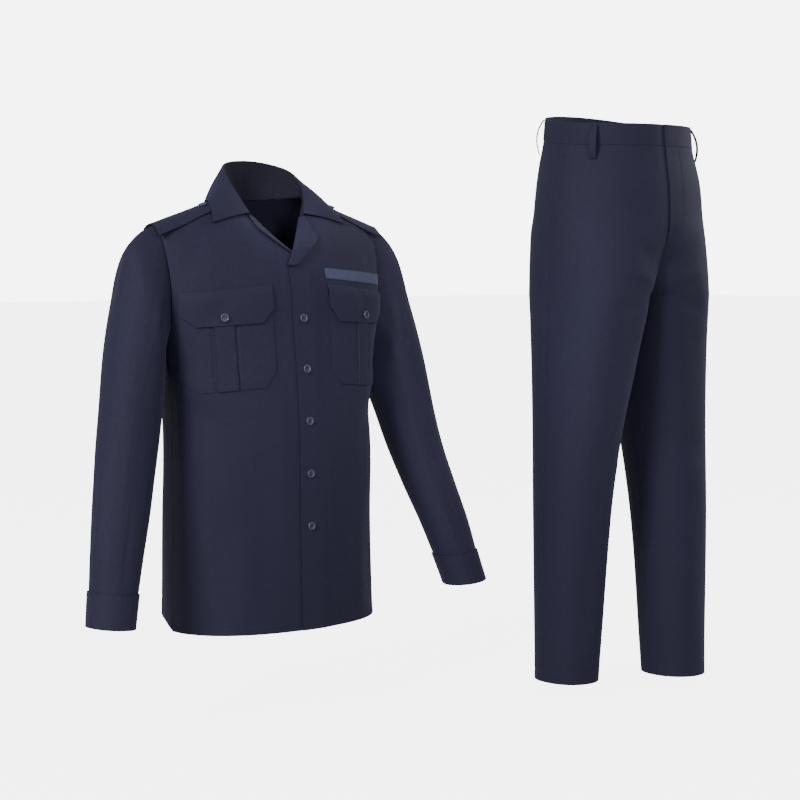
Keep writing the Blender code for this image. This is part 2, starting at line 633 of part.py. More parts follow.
def disc(name, centre, normal, radius, material, mirrored=False):
    """A button: a flat disc with a raised rim, on the face that its normal leaves."""
    normal = unit(np.asarray(normal))
    across = unit(np.cross((0.0, 0.0, 1.0), normal)) if abs(normal[2]) < 0.9 else \
        unit(np.cross((0.0, 1.0, 0.0), normal))
    upward = np.cross(normal, across)
    profile = ((0.94, 0.0), (1.0, 0.4), (0.93, 1.0), (0.68, 0.72))
    verts = []
    for size, height in profile:
        for k in range(BUTTON_SIDES):
            turn = 2 * math.pi * k / BUTTON_SIDES
            spoke = across * math.cos(turn) + upward * math.sin(turn)
            verts.append(centre + spoke * radius * size + normal * BUTTON_THICKNESS * height)
    n = BUTTON_SIDES
    faces = [[i * n + k, i * n + (k + 1) % n, (i + 1) * n + (k + 1) % n, (i + 1) * n + k]
             for i in range(len(profile) - 1) for k in range(n)]
    faces.append(list(range(n))[::-1])
    faces.append([(len(profile) - 1) * n + k for k in range(n)])
    if mirrored:
        verts = [(-v[0], v[1], v[2]) for v in verts]
        faces = [face[::-1] for face in faces]
    mesh = bpy.data.meshes.new(name)
    mesh.from_pydata([tuple(v) for v in verts], [], faces)
    mesh.materials.append(material)
    mesh.shade_smooth()
    mesh.set_sharp_from_angle(angle=math.radians(35))
    thing = bpy.data.objects.new(name, mesh)
    bpy.context.scene.collection.objects.link(thing)


def button(name, panel, row, column, lift, mirrored=False):
    base = panel.at(row, column)
    normal = unit(panel.at(row, column, 1.0) - base)
    disc(name, base + normal * lift, normal, BUTTON_RADIUS, finish(name, BUTTON_BLUE, 0.4),
         mirrored)


def front_buttons(panel):
    for k, (z, column, lift) in enumerate(zip(BUTTON_Z, BUTTON_COLUMN, BUTTON_LIFT)):
        row = int(np.searchsorted(panel.points[:, 2, 2], z)) - 1
        low, high = panel.points[row, 2, 2], panel.points[row + 1, 2, 2]
        place = row + (z - low) / (high - low)
        button(f"button_front_{k + 1}", panel, place, column, lift)


# Lapels, collar and epaulettes

def lapel(panel, side, rows, columns, mirrored):
    """A lapel: it starts at the front's cut edge, turns over and lies back on the front."""
    middle, ends = [], []
    for k, (row, width) in enumerate(zip(rows, columns)):
        share = k / (len(rows) - 1)
        radius = LAPEL_RADIUS_LOW + (LAPEL_RADIUS_HIGH - LAPEL_RADIUS_LOW) * share
        edge = panel.at(row, 0.0)
        normal = unit(panel.at(row, 0.0, 1.0) - edge)
        away = square_to(edge - panel.at(row, 1.0), panel.at(row + 0.2, 0.0) - edge)
        start = edge + away * SEAM - normal * CLOTH / 2
        ends.append(normal)
        line = []
        for turn in (-90, -40, 10, 55):
            c, s = math.cos(math.radians(turn)), math.sin(math.radians(turn))
            line.append(start + radius * (away * c + normal * (1 + s)))
        for step in LAPEL_SHARES:
            line.append(panel.at(row, width * step, 2 * radius - CLOTH / 2))
        middle.append(line[::-1])
    middle = np.array(middle)
    facing = grid_normals(middle)
    facing[:, -1] = np.array(ends)
    wall("lapel_" + side, middle - facing * CLOTH / 2, middle + facing * CLOTH / 2,
         finish("lapel_" + side, NAVY, 0.8), mirrored=mirrored,
         cells=[cell[1::-1] + cell[:1:-1] for cell in patch_cells(len(middle), len(middle[0]))])


def neck_edge(front, back):
    """Edge, way out and normal of the neck seam, from the left notch to the back's middle."""
    edge, away, normals = [], [], []
    for row in COLLAR_FRONT_ROWS:
        here = front.at(row, 0.0)
        edge.append(here)
        away.append(square_to(here - front.at(row, 1.0), here - front.at(row - 0.2, 0.0)))
        normals.append(unit(front.at(row, 0.0, 1.0) - here))
    top = len(back.points) - 1
    neck = BACK_COLUMNS - NECK_STEP
    for step in COLLAR_BACK_STEPS:
        here = back.at(top, neck + step)
        edge.append(here)
        away.append(unit(here - back.at(top - 1, neck + step)))
        normals.append(unit(back.at(top, neck + step, 1.0) - here))
    return edge, away, normals


def resting(points, panels):
    """Points moved out of the panels beneath them, to lie COLLAR_CLEAR off their faces."""
    spots = np.vstack([panel.points.reshape(-1, 3) for panel in panels])
    ways = np.vstack([panel.normals.reshape(-1, 3) for panel in panels])
    rested = []
    for place in points:
        near = np.argmin(np.linalg.norm(spots - place, axis=1))
        rise = np.dot(place - spots[near], ways[near])
        rested.append(place + ways[near] * max(COLLAR_CLEAR - rise, 0.0))
    return rested


def collar_line(start, fold, leaf, along):
    """One section of the collar, on the side that faces the shirt: stand, fold and leaf."""
    up = fold - (start + leaf) / 2
    up = unit(up - along * np.dot(up, along))
    out = np.cross(along, up)
    out = out if np.dot(out, leaf - start) > 0 else -out
    hub = fold - up * (FIRM + FOLD_RADIUS)
    line = [start]
    stand_top = hub - out * FOLD_RADIUS
    line.append(start + (stand_top - start) * 0.5)
    for turn in (0, 60, 120, 180):
        c, s = math.cos(math.radians(turn)), math.sin(math.radians(turn))
        line.append(hub + FOLD_RADIUS * (up * s - out * c))
    leaf_top = line[-1]
    for share in (0.33, 0.67, 1.0):
        bulge = COLLAR_LEAF_BULGE * 4 * share * (1 - share)
        line.append(leaf_top + (leaf - leaf_top) * share + out * bulge)
    return line


def collar(front, back):
    edge, away, normals = neck_edge(front, back)
    fold = curve(COLLAR_AT, list(zip(COLLAR_FOLD_L, COLLAR_FOLD_F, COLLAR_FOLD_Z)))
    leaf_l = curve(COLLAR_AT, COLLAR_LEAF_L)
    leaf_f = curve(COLLAR_AT, COLLAR_LEAF_F)
    side = COLLAR_AT[2]
    count = len(COLLAR_FRONT_ROWS) - 1
    stations = [side * k / count for k in range(count + 1)]
    stations += [side + (1 - side) * step / NECK_STEP for step in COLLAR_BACK_STEPS]
    lines = []
    for at, here, way, normal in zip(stations, edge, away, normals):
        start = seam_start(here, way, normal)
        l, f = leaf_l(at), leaf_f(at)
        leaf = point(l, f, shirt_z(l, f) + COLLAR_LEAF_LIFT)
        along = unit(point(*fold(min(at + 0.02, 1.0))) - point(*fold(at - 0.02 if at else 0.0)))
        lines.append(collar_line(start, point(*fold(at)), leaf, along))
        lines[-1][-3:] = resting(lines[-1][-3:], (front, back))
    flip = np.array((-1.0, 1.0, 1.0))
    lines += [[flip * p for p in line] for line in lines[-2::-1]]
    grid = np.transpose(np.array(lines), (1, 0, 2))
    facing = grid_normals(grid)
    away = np.array(away + [flip * a for a in away[-2::-1]])
    facing[0] = clear_of_edge(facing[0], away)
    wall("collar", grid, grid - facing * FIRM, finish("collar", NAVY, 0.8))


def epaulette(side, mirrored):
    """A strap along the shoulder line, sewn in at the armhole and buttoned by the collar."""
    top, under = [], []
    for l, middle, half, lift in zip(EPAULETTE_L, EPAULETTE_MIDDLE_F, EPAULETTE_HALF_WIDTH,
                                     EPAULETTE_LIFT):
        places = [middle + half * share for share in EPAULETTE_ACROSS]
        top.append([point(l, f, shirt_z(l, f)) for f in places])
        under.append(lift)
    grid = np.array(top)
    normals = grid_normals(grid)
    normals = normals * np.sign(normals[..., 2:3])
    base = grid + normals * np.array(under)[:, None, None]
    cells = patch_cells(len(grid), len(grid[0]))
    if np.cross(grid[0, 1] - grid[0, 0], grid[1, 0] - grid[0, 0])[2] < 0:
        cells = [cell[::-1] for cell in cells]
    name = "epaulette_" + side
    wall(name, base + normals * EPAULETTE_THICK, base, finish(name, NAVY, 0.8), cells=cells,
         mirrored=mirrored)
    l, f = EPAULETTE_BUTTON_L, EPAULETTE_MIDDLE_F[2]
    spot = point(l, f, shirt_z(l, f))
    slope = unit(np.cross(point(l, f, shirt_z(l, f)) - point(l - 0.01, f, shirt_z(l - 0.01, f)),
                          point(l, f - 0.01, shirt_z(l, f - 0.01)) - spot))
    lift = EPAULETTE_LIFT[2] + EPAULETTE_THICK + BUTTON_CLEAR
    disc("button_epaulette_" + side, spot + slope * lift, slope, BUTTON_RADIUS,
         finish("button_epaulette_" + side, BUTTON_BLUE, 0.4), mirrored)


def build_shirt():
    left = front_panel(True)
    right = front_panel(False)
    back = back_panel()
    left.build("front_left", finish("front_left", NAVY, 0.8))
    right.build("front_right", finish("front_right", NAVY, 0.8), mirrored=True)
    back.build("back", finish("back", NAVY, 0.8))
    sleeve, sleeve_walls = sleeve_grid(right, back)
    cuff, cuff_walls = cuff_grid(sleeve, sleeve_walls)
    for side, panel, mirrored in (("left", left, False), ("right", right, True)):
        name = "sleeve_" + side
        wall(name, sleeve, sleeve - sleeve_walls * CLOTH, finish(name, NAVY, 0.8), around=True,
             mirrored=mirrored)
        name = "cuff_" + side
        wall(name, cuff, cuff - cuff_walls * FIRM, finish(name, NAVY, 0.8), around=True,
             mirrored=mirrored)
        band = Panel(cuff, cuff_walls)
        button("button_cuff_" + side, band, 1.9, CUFF_BUTTON_COLUMN, BUTTON_CLEAR, mirrored)
        pocket(panel, side, mirrored)
        flap(panel, side, mirrored)
        epaulette(side, mirrored)
    name_tape(left)
    front_buttons(left)
    lapel(left, "left", LEFT_LAPEL_ROW, LEFT_LAPEL_COLUMN, False)
    lapel(right, "right", RIGHT_LAPEL_ROW, RIGHT_LAPEL_COLUMN, True)
    collar(left, back)


# Trousers

leg_outer = curve(LEG_Z, LEG_OUTER)
leg_front = curve(LEG_Z, LEG_FRONT)
leg_back = curve(LEG_Z, LEG_BACK)
leg_middle = curve(LEG_Z, LEG_MIDDLE_F)
leg_stride = curve(LEG_Z, LEG_STRIDE)
leg_inside_square = curve(LEG_Z, LEG_INSIDE_SQUARE)
lower_leg_centre = curve(LEG_CENTRE_Z, LEG_CENTRE)


def bend(angle, inside):
    """Cosine and sine of a section a little squarer than an oval, most so on its inside."""
    c, s = math.cos(angle), math.sin(angle)
    power = 2 / (inside if c < 0 else LEG_SQUARE)
    return math.copysign(abs(c) ** power, c), math.copysign(abs(s) ** power, s)


def split(z):
    """How far the section has parted into two legs: 0 at the hips and 1 from the crotch down."""
    down = (CROTCH_FROM - z) / (CROTCH_FROM - CROTCH_Z)
    return min(max(down, 0.0), 1.0) ** CROTCH_POWER


def leg_centre(z):
    """Width at which the middle of the section lies."""
    share = split(z)
    return lower_leg_centre(z) if share == 1.0 else leg_outer(z) * share / (1 + share)


def leg_end(z):
    """Angle round the section at which the hips reach the middle, or the legs their inside."""
    return math.acos(-split(z) ** (leg_inside_square(z) / 2))


def waist_rise(z, f):
    """How much higher the waist stands towards the back."""
    share = (leg_middle(z) + leg_front(z) - f) / (leg_front(z) + leg_back(z))
    share = min(max(share, 0.0), 1.0) ** WAIST_RISE_POWER
    return WAIST_RISE_BACK * share * smooth_step((z - RISE_FADES_TO) / (WAIST_Z - RISE_FADES_TO))


def leg_point(z, angle, back, step):
    """A point of the left half of the trousers; angle 0 is the outer seam."""
    depth = -leg_back(z) if back else leg_front(z)
    c, s = bend(angle, leg_inside_square(z))
    f = leg_middle(z) + depth * s
    centre = leg_centre(z)
    l = centre + (leg_outer(z) - centre) * c
    return point(l, f + step * leg_stride(z), z + waist_rise(z, f))


def leg_normal(z, angle, back, step):
    across = leg_point(z, angle + LEG_PROBE, back, step) - leg_point(z, angle - LEG_PROBE, back, step)
    up = leg_point(z + LEG_PROBE, angle, back, step) - leg_point(z - LEG_PROBE, angle, back, step)
    return unit(np.cross(across, up)) * (1.0 if back else -1.0)


def leg_panel(back, step, under=False):
    """Grid of a trouser panel: rows from hem to waist, columns from the outer seam inwards.

    The last columns are one near the inner edge, the edge, and the fly's underlap if it has one.
    Columns that a row has no room for fall on the one near its edge.
    """
    near_column = len(LEG_ANGLES)
    points, normals, fits = [], [], []
    for outside, inside in zip(LEG_ROW_OUTSIDE, LEG_ROW_INSIDE):
        end = leg_end(inside)
        near = FLY_UNDERLAP / (leg_outer(inside) - leg_centre(inside))
        angles = [math.radians(angle) for angle in LEG_ANGLES]
        fits.append([angle < end - near - LEG_ANGLE_ROOM for angle in angles])
        angles = [angle if fit else end - near for angle, fit in zip(angles, fits[-1])]
        angles += [end - near, end] + [end + near] * int(under)
        heights = [outside + (inside - outside) * min(angle / end, 1.0) ** 2 for angle in angles]
        points.append([leg_point(z, angle, back, step) for z, angle in zip(heights, angles)])
        normals.append([leg_normal(z, angle, back, step) for z, angle in zip(heights, angles)])
    points, normals = np.array(points), np.array(normals)
    inner = near_column + 1
    away = SEAM / 2 if back else -SEAM / 2
    normals[:, 0] = square_to_seam(normals[:, 0], 1)
    points[:, 0, 1] += away
    points[:CROTCH_ROW + 1, inner, 1] += away
    points[CROTCH_ROW:, inner, 0] += SEAM / 2
    normals[:CROTCH_ROW, inner] = square_to_seam(normals[:CROTCH_ROW, inner], 1)
    normals[CROTCH_ROW, inner] = (0.0, 0.0, -1.0)
    normals[CROTCH_ROW + 1:, inner] = square_to_seam(normals[CROTCH_ROW + 1:, inner], 0)
    normals[-1] = square_to_seam(normals[-1], 2)
    return Panel(points, normals), leg_cells(fits, back, under)


def leg_cells(fits, back, under):
    """Cells of a trouser panel: some end at the inner edge, and the underlap at the fly's foot."""
    near_column = len(LEG_ANGLES)
    cells = []
    for cell in patch_cells(len(fits), near_column + 2 + int(under)):
        if cell[0][1] > near_column and cell[0][0] < FLY_ROW:
            continue
        corners = []
        for i, j in cell:
            corner = (i, j) if j >= near_column or fits[i][j] else (i, near_column)
            if corner not in corners:
                corners.append(corner)
        if len(corners) > 2:
            cells.append(tuple(corners) if back else tuple(corners[::-1]))
    return cells


def sink_fly(panel):
    """Lowers a front's fly, to pass beneath the other front."""
    foot, full = LEG_ROW_INSIDE[FLY_ROW - 1], LEG_ROW_INSIDE[FLY_ROW]
    for i in range(FLY_ROW, len(panel.points)):
        for j, (l, _, z) in enumerate(panel.points[i]):
            share = smooth_step((FLY_SINK_FADE - l) / FLY_SINK_FADE)
            share *= smooth_step((z - foot) / (full - foot))
            panel.points[i, j] -= panel.normals[i, j] * FLY_SINK * share


def waist_point(z, turn):
    """A point of the waist; turn 0 is the middle of the front and pi / 2 the left side."""
    c, s = bend(math.pi / 2 - turn, leg_inside_square(z))
    f = leg_middle(z) + (leg_front(z) if s > 0 else leg_back(z)) * s
    return point(leg_outer(z) * c, f, z + waist_rise(z, f))


def waist_turn(column):
    """Turn of one of the waistband's evenly spaced columns."""
    near = FLY_UNDERLAP / leg_outer(WAIST_Z)
    return near + (2 * math.pi - 2 * near) * column / WAISTBAND_STEPS


def waistband_grid():
    """Grid of the waistband, from its upper end at the fly, round, and on beneath that end."""
    turns = [0.0] + [waist_turn(k) for k in range(WAISTBAND_STEPS + 1)]
    turns += [2 * math.pi, 2 * math.pi + waist_turn(0)]
    heights = (WAIST_Z + SEAM, (WAIST_Z + WAIST_TOP) / 2, WAIST_TOP)
    points = np.array([[waist_point(z, turn) for turn in turns] for z in heights])
    normals = grid_normals(points)
    normals[0] = square_to_seam(normals[0], 2)
    points[:, -2:] -= normals[:, -2:] * WAISTBAND_SINK
    return Panel(points, normals)


def belt_loop(name, column):
    """A strap sewn down at both ends, standing clear of the waistband between them."""
    top, foot = WAIST_TOP - BELT_LOOP_FROM_TOP, WAIST_Z - BELT_LOOP_BELOW
    half = BELT_LOOP_HALF_WIDTH / leg_outer(WAIST_Z)
    rows = []
    for k in range(BELT_LOOP_POINTS):
        share = k / (BELT_LOOP_POINTS - 1)
        z = foot + (top - foot) * share
        lift = BELT_LOOP_CLEAR + BELT_LOOP_BOW * math.sin(math.pi * share) ** 0.8
        row = []
        for side in (-1, 0, 1):
            turn = waist_turn(column) + side * half
            here = waist_point(z, turn)
            ahead = waist_point(z, turn + 0.01) - here
            row.append(here + unit(np.array((ahead[1], -ahead[0], 0.0))) * lift)
        rows.append(row)
    points = np.array(rows)
    wall(name, points + grid_normals(points) * BELT_LOOP_THICK, points, finish(name, NAVY, 0.8),
         at=TROUSERS_AT)


def build_trousers():
    for side, step, mirrored in (("left", 1.0, False), ("right", -1.0, True)):
        for part, back in (("front", False), ("back", True)):
            name = f"trouser_{part}_{side}"
            panel, cells = leg_panel(back, step, under=mirrored and not back)
            if mirrored and not back:
                sink_fly(panel)
            wall(name, panel.points, panel.points - panel.normals * CLOTH,
                 finish(name, NAVY, 0.8), cells=cells, mirrored=mirrored, at=TROUSERS_AT)
    band = waistband_grid()
    wall("waistband", band.points, band.points - band.normals * FIRM,
         finish("waistband", NAVY, 0.8), at=TROUSERS_AT)
    for k, column in enumerate(BELT_LOOP_COLUMNS):
        belt_loop(f"belt_loop_{k + 1}", column)


clear_scene()
build_shirt()
build_trousers()
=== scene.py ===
"""Looks of the flame-resistant uniform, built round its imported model.

Each cloth piece is a thin shell on its solid's own form: the tables and surface functions are
those of the solids, read at finer steps, with soft folds, seams, stitches and a weave added.
Units are metres, +Z is up and both garments face -Y. Left-hand pieces have l = +X.
"""

import json
import math

import bpy
import numpy as np
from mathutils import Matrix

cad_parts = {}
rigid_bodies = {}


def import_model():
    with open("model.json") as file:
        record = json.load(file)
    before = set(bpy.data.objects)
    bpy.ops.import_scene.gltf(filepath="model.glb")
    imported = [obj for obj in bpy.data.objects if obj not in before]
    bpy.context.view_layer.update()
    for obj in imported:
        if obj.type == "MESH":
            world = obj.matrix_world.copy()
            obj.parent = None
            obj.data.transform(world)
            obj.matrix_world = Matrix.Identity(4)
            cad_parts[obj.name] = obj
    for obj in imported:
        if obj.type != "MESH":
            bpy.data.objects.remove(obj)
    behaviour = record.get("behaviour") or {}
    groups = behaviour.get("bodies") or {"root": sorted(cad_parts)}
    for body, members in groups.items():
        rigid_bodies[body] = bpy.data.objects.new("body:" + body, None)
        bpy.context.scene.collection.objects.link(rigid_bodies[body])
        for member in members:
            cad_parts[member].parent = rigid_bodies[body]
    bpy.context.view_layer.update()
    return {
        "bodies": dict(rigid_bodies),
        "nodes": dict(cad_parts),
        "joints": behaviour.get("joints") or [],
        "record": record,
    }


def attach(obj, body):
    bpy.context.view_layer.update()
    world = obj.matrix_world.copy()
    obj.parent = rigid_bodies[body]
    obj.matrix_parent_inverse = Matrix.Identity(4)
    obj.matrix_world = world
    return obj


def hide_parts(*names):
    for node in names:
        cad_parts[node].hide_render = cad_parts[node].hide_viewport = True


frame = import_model()

# Cloth
CLOTH = 0.0016
SEAM = 0.0003
FIRM = 0.0022

# Shirt body: one row for each height, in a fuller general figure's sizes
SHIRT_Z = (-0.748, -0.560, -0.380, -0.290, -0.200, -0.105, 0.020)
SHIRT_HALF_WIDTH = (0.202, 0.198, 0.198, 0.206, 0.223, 0.231, 0.240)
SHIRT_FRONT = (0.122, 0.117, 0.113, 0.105, 0.095, 0.095, 0.095)
SHIRT_BACK = (0.155, 0.155, 0.148, 0.142, 0.138, 0.138, 0.138)
SHIRT_SQUARENESS = 2.2
CHEST_Z = -0.200
SIDE_F = -0.010
SHOULDER_F = -0.015
FRONT_SHOULDER_POWER = 1.65
BACK_SHOULDER_POWER = 2.0
NECK_HALF_WIDTH = 0.074
NECK_SIDE_Z = 0.005
SHOULDER_FALL = 0.35
SHOULDER_TIP = 0.228
SHOULDER_BODY = 0.190
NECK_BACK_Z = -0.002

# Shirt fronts: heights of the rows, and how far each drops per metre outwards
FRONT_ROW_Z = (-0.748, -0.690, -0.610, -0.530, -0.450, -0.380, -0.323, -0.297,
               -0.256, -0.214, -0.190, -0.170, -0.150, -0.140, -0.122)
FRONT_ROW_DROP = (0.0, 0.0, 0.0, 0.0, 0.0, 0.03, 0.08, 0.07,
                  0.06, 0.06, 0.08, 0.09, 0.10, 0.09, 0.08)
FRONT_FAN = (0.22, 0.42, 0.58, 0.72, 0.84, 0.93, 1.0)
OVERLAP_COLUMNS = (-0.020, -0.010, 0.0, 0.010, 0.020, 0.039)
OVERLAP_LIFT = CLOTH + 0.0015
LIFT_END = 0.055
POCKET_INNER = 0.059
POCKET_COLUMNS = (0.0, 0.135, 0.30, 0.466, 0.581, 0.696, 0.865, 1.0)
POCKET_OUTER_Z = (-0.748, -0.400, -0.330, -0.220, -0.167, -0.120)
POCKET_OUTER_L = (0.195, 0.195, 0.199, 0.207, 0.210, 0.213)
FRONT_ARMHOLE_Z = (-0.31, -0.26, -0.20, -0.16, -0.105, -0.06)
FRONT_ARMHOLE_L = (0.2045, 0.211, 0.2165, 0.2175, 0.221, 0.228)

# Rows and columns of the fronts that other pieces follow
POCKET_BOTTOM_ROW = 6
UNDERARM_ROW = 7
FLAP_BOTTOM_ROW = 9
FLAP_TOP_ROW = 12
TAPE_BOTTOM_ROW = 13
TAPE_TOP_ROW = 14
POCKET_FIRST_COLUMN = 6
POCKET_LAST_COLUMN = 13
PLEAT_FIRST_COLUMN = 9
PLEAT_LAST_COLUMN = 11

# The line that each lapel turns over, from the front edge to the neck's side
ROLL_AT = (0.0, 0.10, 0.24, 0.42, 0.68, 0.86, 1.0)
ROLL_L = (-0.020, -0.0145, 0.000, 0.021, 0.045, 0.060, 0.074)
ROLL_Z = (-0.122, -0.103, -0.088, -0.070, -0.044, -0.020, 0.005)
UNDER_ROLL_Z = (-0.122, -0.115, -0.108, -0.082, -0.044, -0.020, 0.005)
ROLL_BEHIND_CHEST = (0.0, 0.0, 0.0, 0.014, 0.026, 0.022, 0.0)
ROLL_REACH = 0.14

# Shirt back
BACK_ROW_Z = (-0.748, -0.650, -0.540, -0.450, -0.380, -0.315, -0.265, -0.215, -0.170, -0.130)
BACK_FAN = (0.25, 0.46, 0.64, 0.79, 0.91, 1.0)
BACK_COLUMNS = 9
HEM_NOTCH = 0.026
HEM_NOTCH_COLUMN = 7.0
HEM_NOTCH_REACH = 2.2
NECK_STEP = 3
BACK_UNDERARM_ROW = 5
BACK_ARMHOLE_Z = (-0.315, -0.265, -0.200, -0.130, -0.06)
BACK_ARMHOLE_L = (0.2045, 0.205, 0.203, 0.210, 0.228)

# Sleeves: a row for each ring, from the armhole to the cuff
SLEEVE_INNER_L = (0.213, 0.2165, 0.220, 0.2245, 0.232, 0.243, 0.257, 0.277, 0.300, 0.321)
SLEEVE_INNER_Z = (-0.322, -0.328, -0.336, -0.346, -0.365, -0.410, -0.465, -0.530, -0.595, -0.659)
SLEEVE_OUTER_L = (0.256, 0.281, 0.297, 0.313, 0.329, 0.346, 0.360, 0.375, 0.389, 0.401)
SLEEVE_OUTER_Z = (-0.062, -0.092, -0.158, -0.220, -0.290, -0.385, -0.455, -0.520, -0.585, -0.651)
SLEEVE_MIDDLE_F = (-0.024, -0.022, -0.018, -0.012, -0.004, 0.008, 0.021, 0.038, 0.056, 0.072)
SLEEVE_HALF_DEPTH = (0.058, 0.064, 0.066, 0.065, 0.061, 0.054, 0.049, 0.046, 0.043, 0.041)
ARMHOLE_SHARE = (0.70, 0.40, 0.18, 0.05, 0.0, 0.0, 0.0, 0.0, 0.0, 0.0)
CUFF_LENGTH = 0.054
CUFF_OVER_SLEEVE = 0.05
CUFF_TAPER = 0.96
CUFF_BUTTON_COLUMN = 4.0

# Collar: stations from the notch at the front, over the shoulder, to the middle of the back
COLLAR_AT = (0.0, 0.15, 0.30, 0.50, 0.68, 0.84, 1.0)
COLLAR_FOLD_L = (0.0575, 0.067, 0.074, 0.070, 0.054, 0.029, 0.0)
COLLAR_FOLD_F = (0.017, 0.004, -0.015, -0.044, -0.066, -0.080, -0.0845)
COLLAR_FOLD_Z = (-0.026, -0.002, 0.026, 0.050, 0.061, 0.067, 0.069)
COLLAR_LEAF_L = (0.138, 0.129, 0.121, 0.104, 0.077, 0.039, 0.0)
COLLAR_LEAF_F = (0.028, 0.008, -0.014, -0.052, -0.080, -0.094, -0.098)
COLLAR_LEAF_LIFT = 0.0055
COLLAR_CLEAR = 0.0025
COLLAR_LEAF_BULGE = 0.004
COLLAR_FRONT_ROWS = (18.4, 19.0, 20.0, 21.0)
COLLAR_BACK_STEPS = (0.5, 1.0, 1.5, 2.0, 2.5, 3.0)
FOLD_RADIUS = 0.0010

# Lapels: rows of the front that they lie on, and how many columns wide they are there
LEFT_LAPEL_ROW = (14.06, 14.14, 14.36, 14.6, 14.9, 15.25, 15.65, 16.1, 16.7, 17.5, 18.3)
LEFT_LAPEL_COLUMN = (0.6, 1.3, 1.9, 2.8, 4.0, 4.6, 4.7, 4.1, 3.4, 2.3, 1.0)
RIGHT_LAPEL_ROW = (15.35, 15.6, 16.0, 16.4, 16.8, 17.2, 17.8, 18.3)
RIGHT_LAPEL_COLUMN = (0.6, 1.8, 3.0, 3.6, 3.3, 2.7, 1.8, 1.0)
LAPEL_SHARES = (0.25, 0.5, 0.75, 1.0)
LAPEL_RADIUS_LOW = 0.0036
LAPEL_RADIUS_HIGH = 0.0018

# Small shirt pieces
BUTTON_RADIUS = 0.0074
BUTTON_THICKNESS = 0.0030
BUTTON_CLEAR = 0.0006
BUTTON_Z = (-0.106, -0.208, -0.295, -0.385, -0.476, -0.567)
BUTTON_COLUMN = (1.0, 2.0, 2.0, 2.0, 2.0, 2.0)
BUTTON_LIFT = (0.0010, 0.0006, 0.0006, 0.0006, 0.0006, 0.0006)
FLAP_BUTTON_ROW = 9.62
FLAP_BUTTON_COLUMN = 10.0
EPAULETTE_L = (0.116, 0.122, 0.132, 0.155, 0.180, 0.204, 0.220, 0.232)
EPAULETTE_MIDDLE_F = (-0.008, -0.008, -0.009, -0.010, -0.011, -0.013, -0.014, -0.015)
EPAULETTE_HALF_WIDTH = (0.009, 0.0155, 0.0190, 0.0200, 0.0212, 0.0226, 0.0240, 0.0250)
EPAULETTE_LIFT = (0.0010, 0.0010, 0.0010, 0.0010, 0.0014, 0.0018, 0.0018, 0.0022)
EPAULETTE_THICK = 0.0024
EPAULETTE_ACROSS = (-1.0, -0.6, -0.2, 0.2, 0.6, 1.0)
EPAULETTE_BUTTON_L = 0.1335

# Trousers: where their waist stands beside the shirt, and a row for each height
TROUSERS_AT = (0.582, -0.2705)
WAIST_RISE_BACK = 0.027
WAIST_RISE_POWER = 2.4
RISE_FADES_TO = -0.020
CROTCH_FROM = -0.020
CROTCH_Z = -0.170
CROTCH_POWER = 1.35
WAIST_TOP = 0.133
WAIST_Z = 0.094
LEG_Z = (0.133, 0.094, 0.020, -0.050, -0.110, -0.170, -0.260, -0.400, -0.570, -0.877)
LEG_OUTER = (0.137, 0.141, 0.160, 0.167, 0.170, 0.171, 0.176, 0.177, 0.170, 0.157)
LEG_FRONT = (0.117, 0.120, 0.129, 0.131, 0.126, 0.120, 0.107, 0.092, 0.078, 0.065)
LEG_BACK = (0.121, 0.123, 0.135, 0.135, 0.122, 0.110, 0.095, 0.081, 0.068, 0.055)
LEG_MIDDLE_F = (0.001, 0.001, 0.003, 0.003, 0.003, 0.003, 0.004, 0.007, 0.011, 0.014)
LEG_STRIDE = (0.0, 0.0, 0.0, 0.0, 0.0, 0.0, 0.0, 0.005, 0.020, 0.036)
LEG_INSIDE_SQUARE = (2.2, 2.2, 2.2, 2.2, 2.3, 3.4, 2.9, 2.0, 2.0, 2.0)
LEG_CENTRE_Z = (-0.170, -0.265, -0.400, -0.877)
LEG_CENTRE = (0.0855, 0.0925, 0.0990, 0.1010)
LEG_SQUARE = 2.15

# Rows of the trouser panels from hem to waist: heights on the outside and on the inside
LEG_ROW_OUTSIDE = (-0.877, -0.790, -0.700, -0.610, -0.520, -0.440, -0.370, -0.310, -0.262, -0.226,
                   -0.200, -0.182, -0.166, -0.150, -0.133, -0.113, -0.088, -0.056, -0.020, 0.020,
                   0.060, 0.094)
LEG_ROW_INSIDE = (-0.877, -0.790, -0.700, -0.610, -0.520, -0.440, -0.370, -0.310, -0.258, -0.218,
                  -0.188, -0.170, -0.1693, -0.1675, -0.163, -0.152, -0.132, -0.095, -0.050, 0.0,
                  0.050, 0.094)
CROTCH_ROW = 11
FLY_ROW = 18
LEG_PROBE = 0.0005
FLY_UNDERLAP = 0.014
FLY_SINK = CLOTH + 0.0008
FLY_SINK_FADE = 0.012
WAISTBAND_STEPS = 26
WAISTBAND_SINK = FIRM + 0.0008
BELT_LOOP_COLUMNS = (4, 9, 13, 17, 22)
BELT_LOOP_CLEAR = 0.0008
BELT_LOOP_FROM_TOP = 0.003
BELT_LOOP_HALF_WIDTH = 0.0065
BELT_LOOP_THICK = 0.0018
BELT_LOOP_BELOW = 0.024
BELT_LOOP_BOW = 0.0105

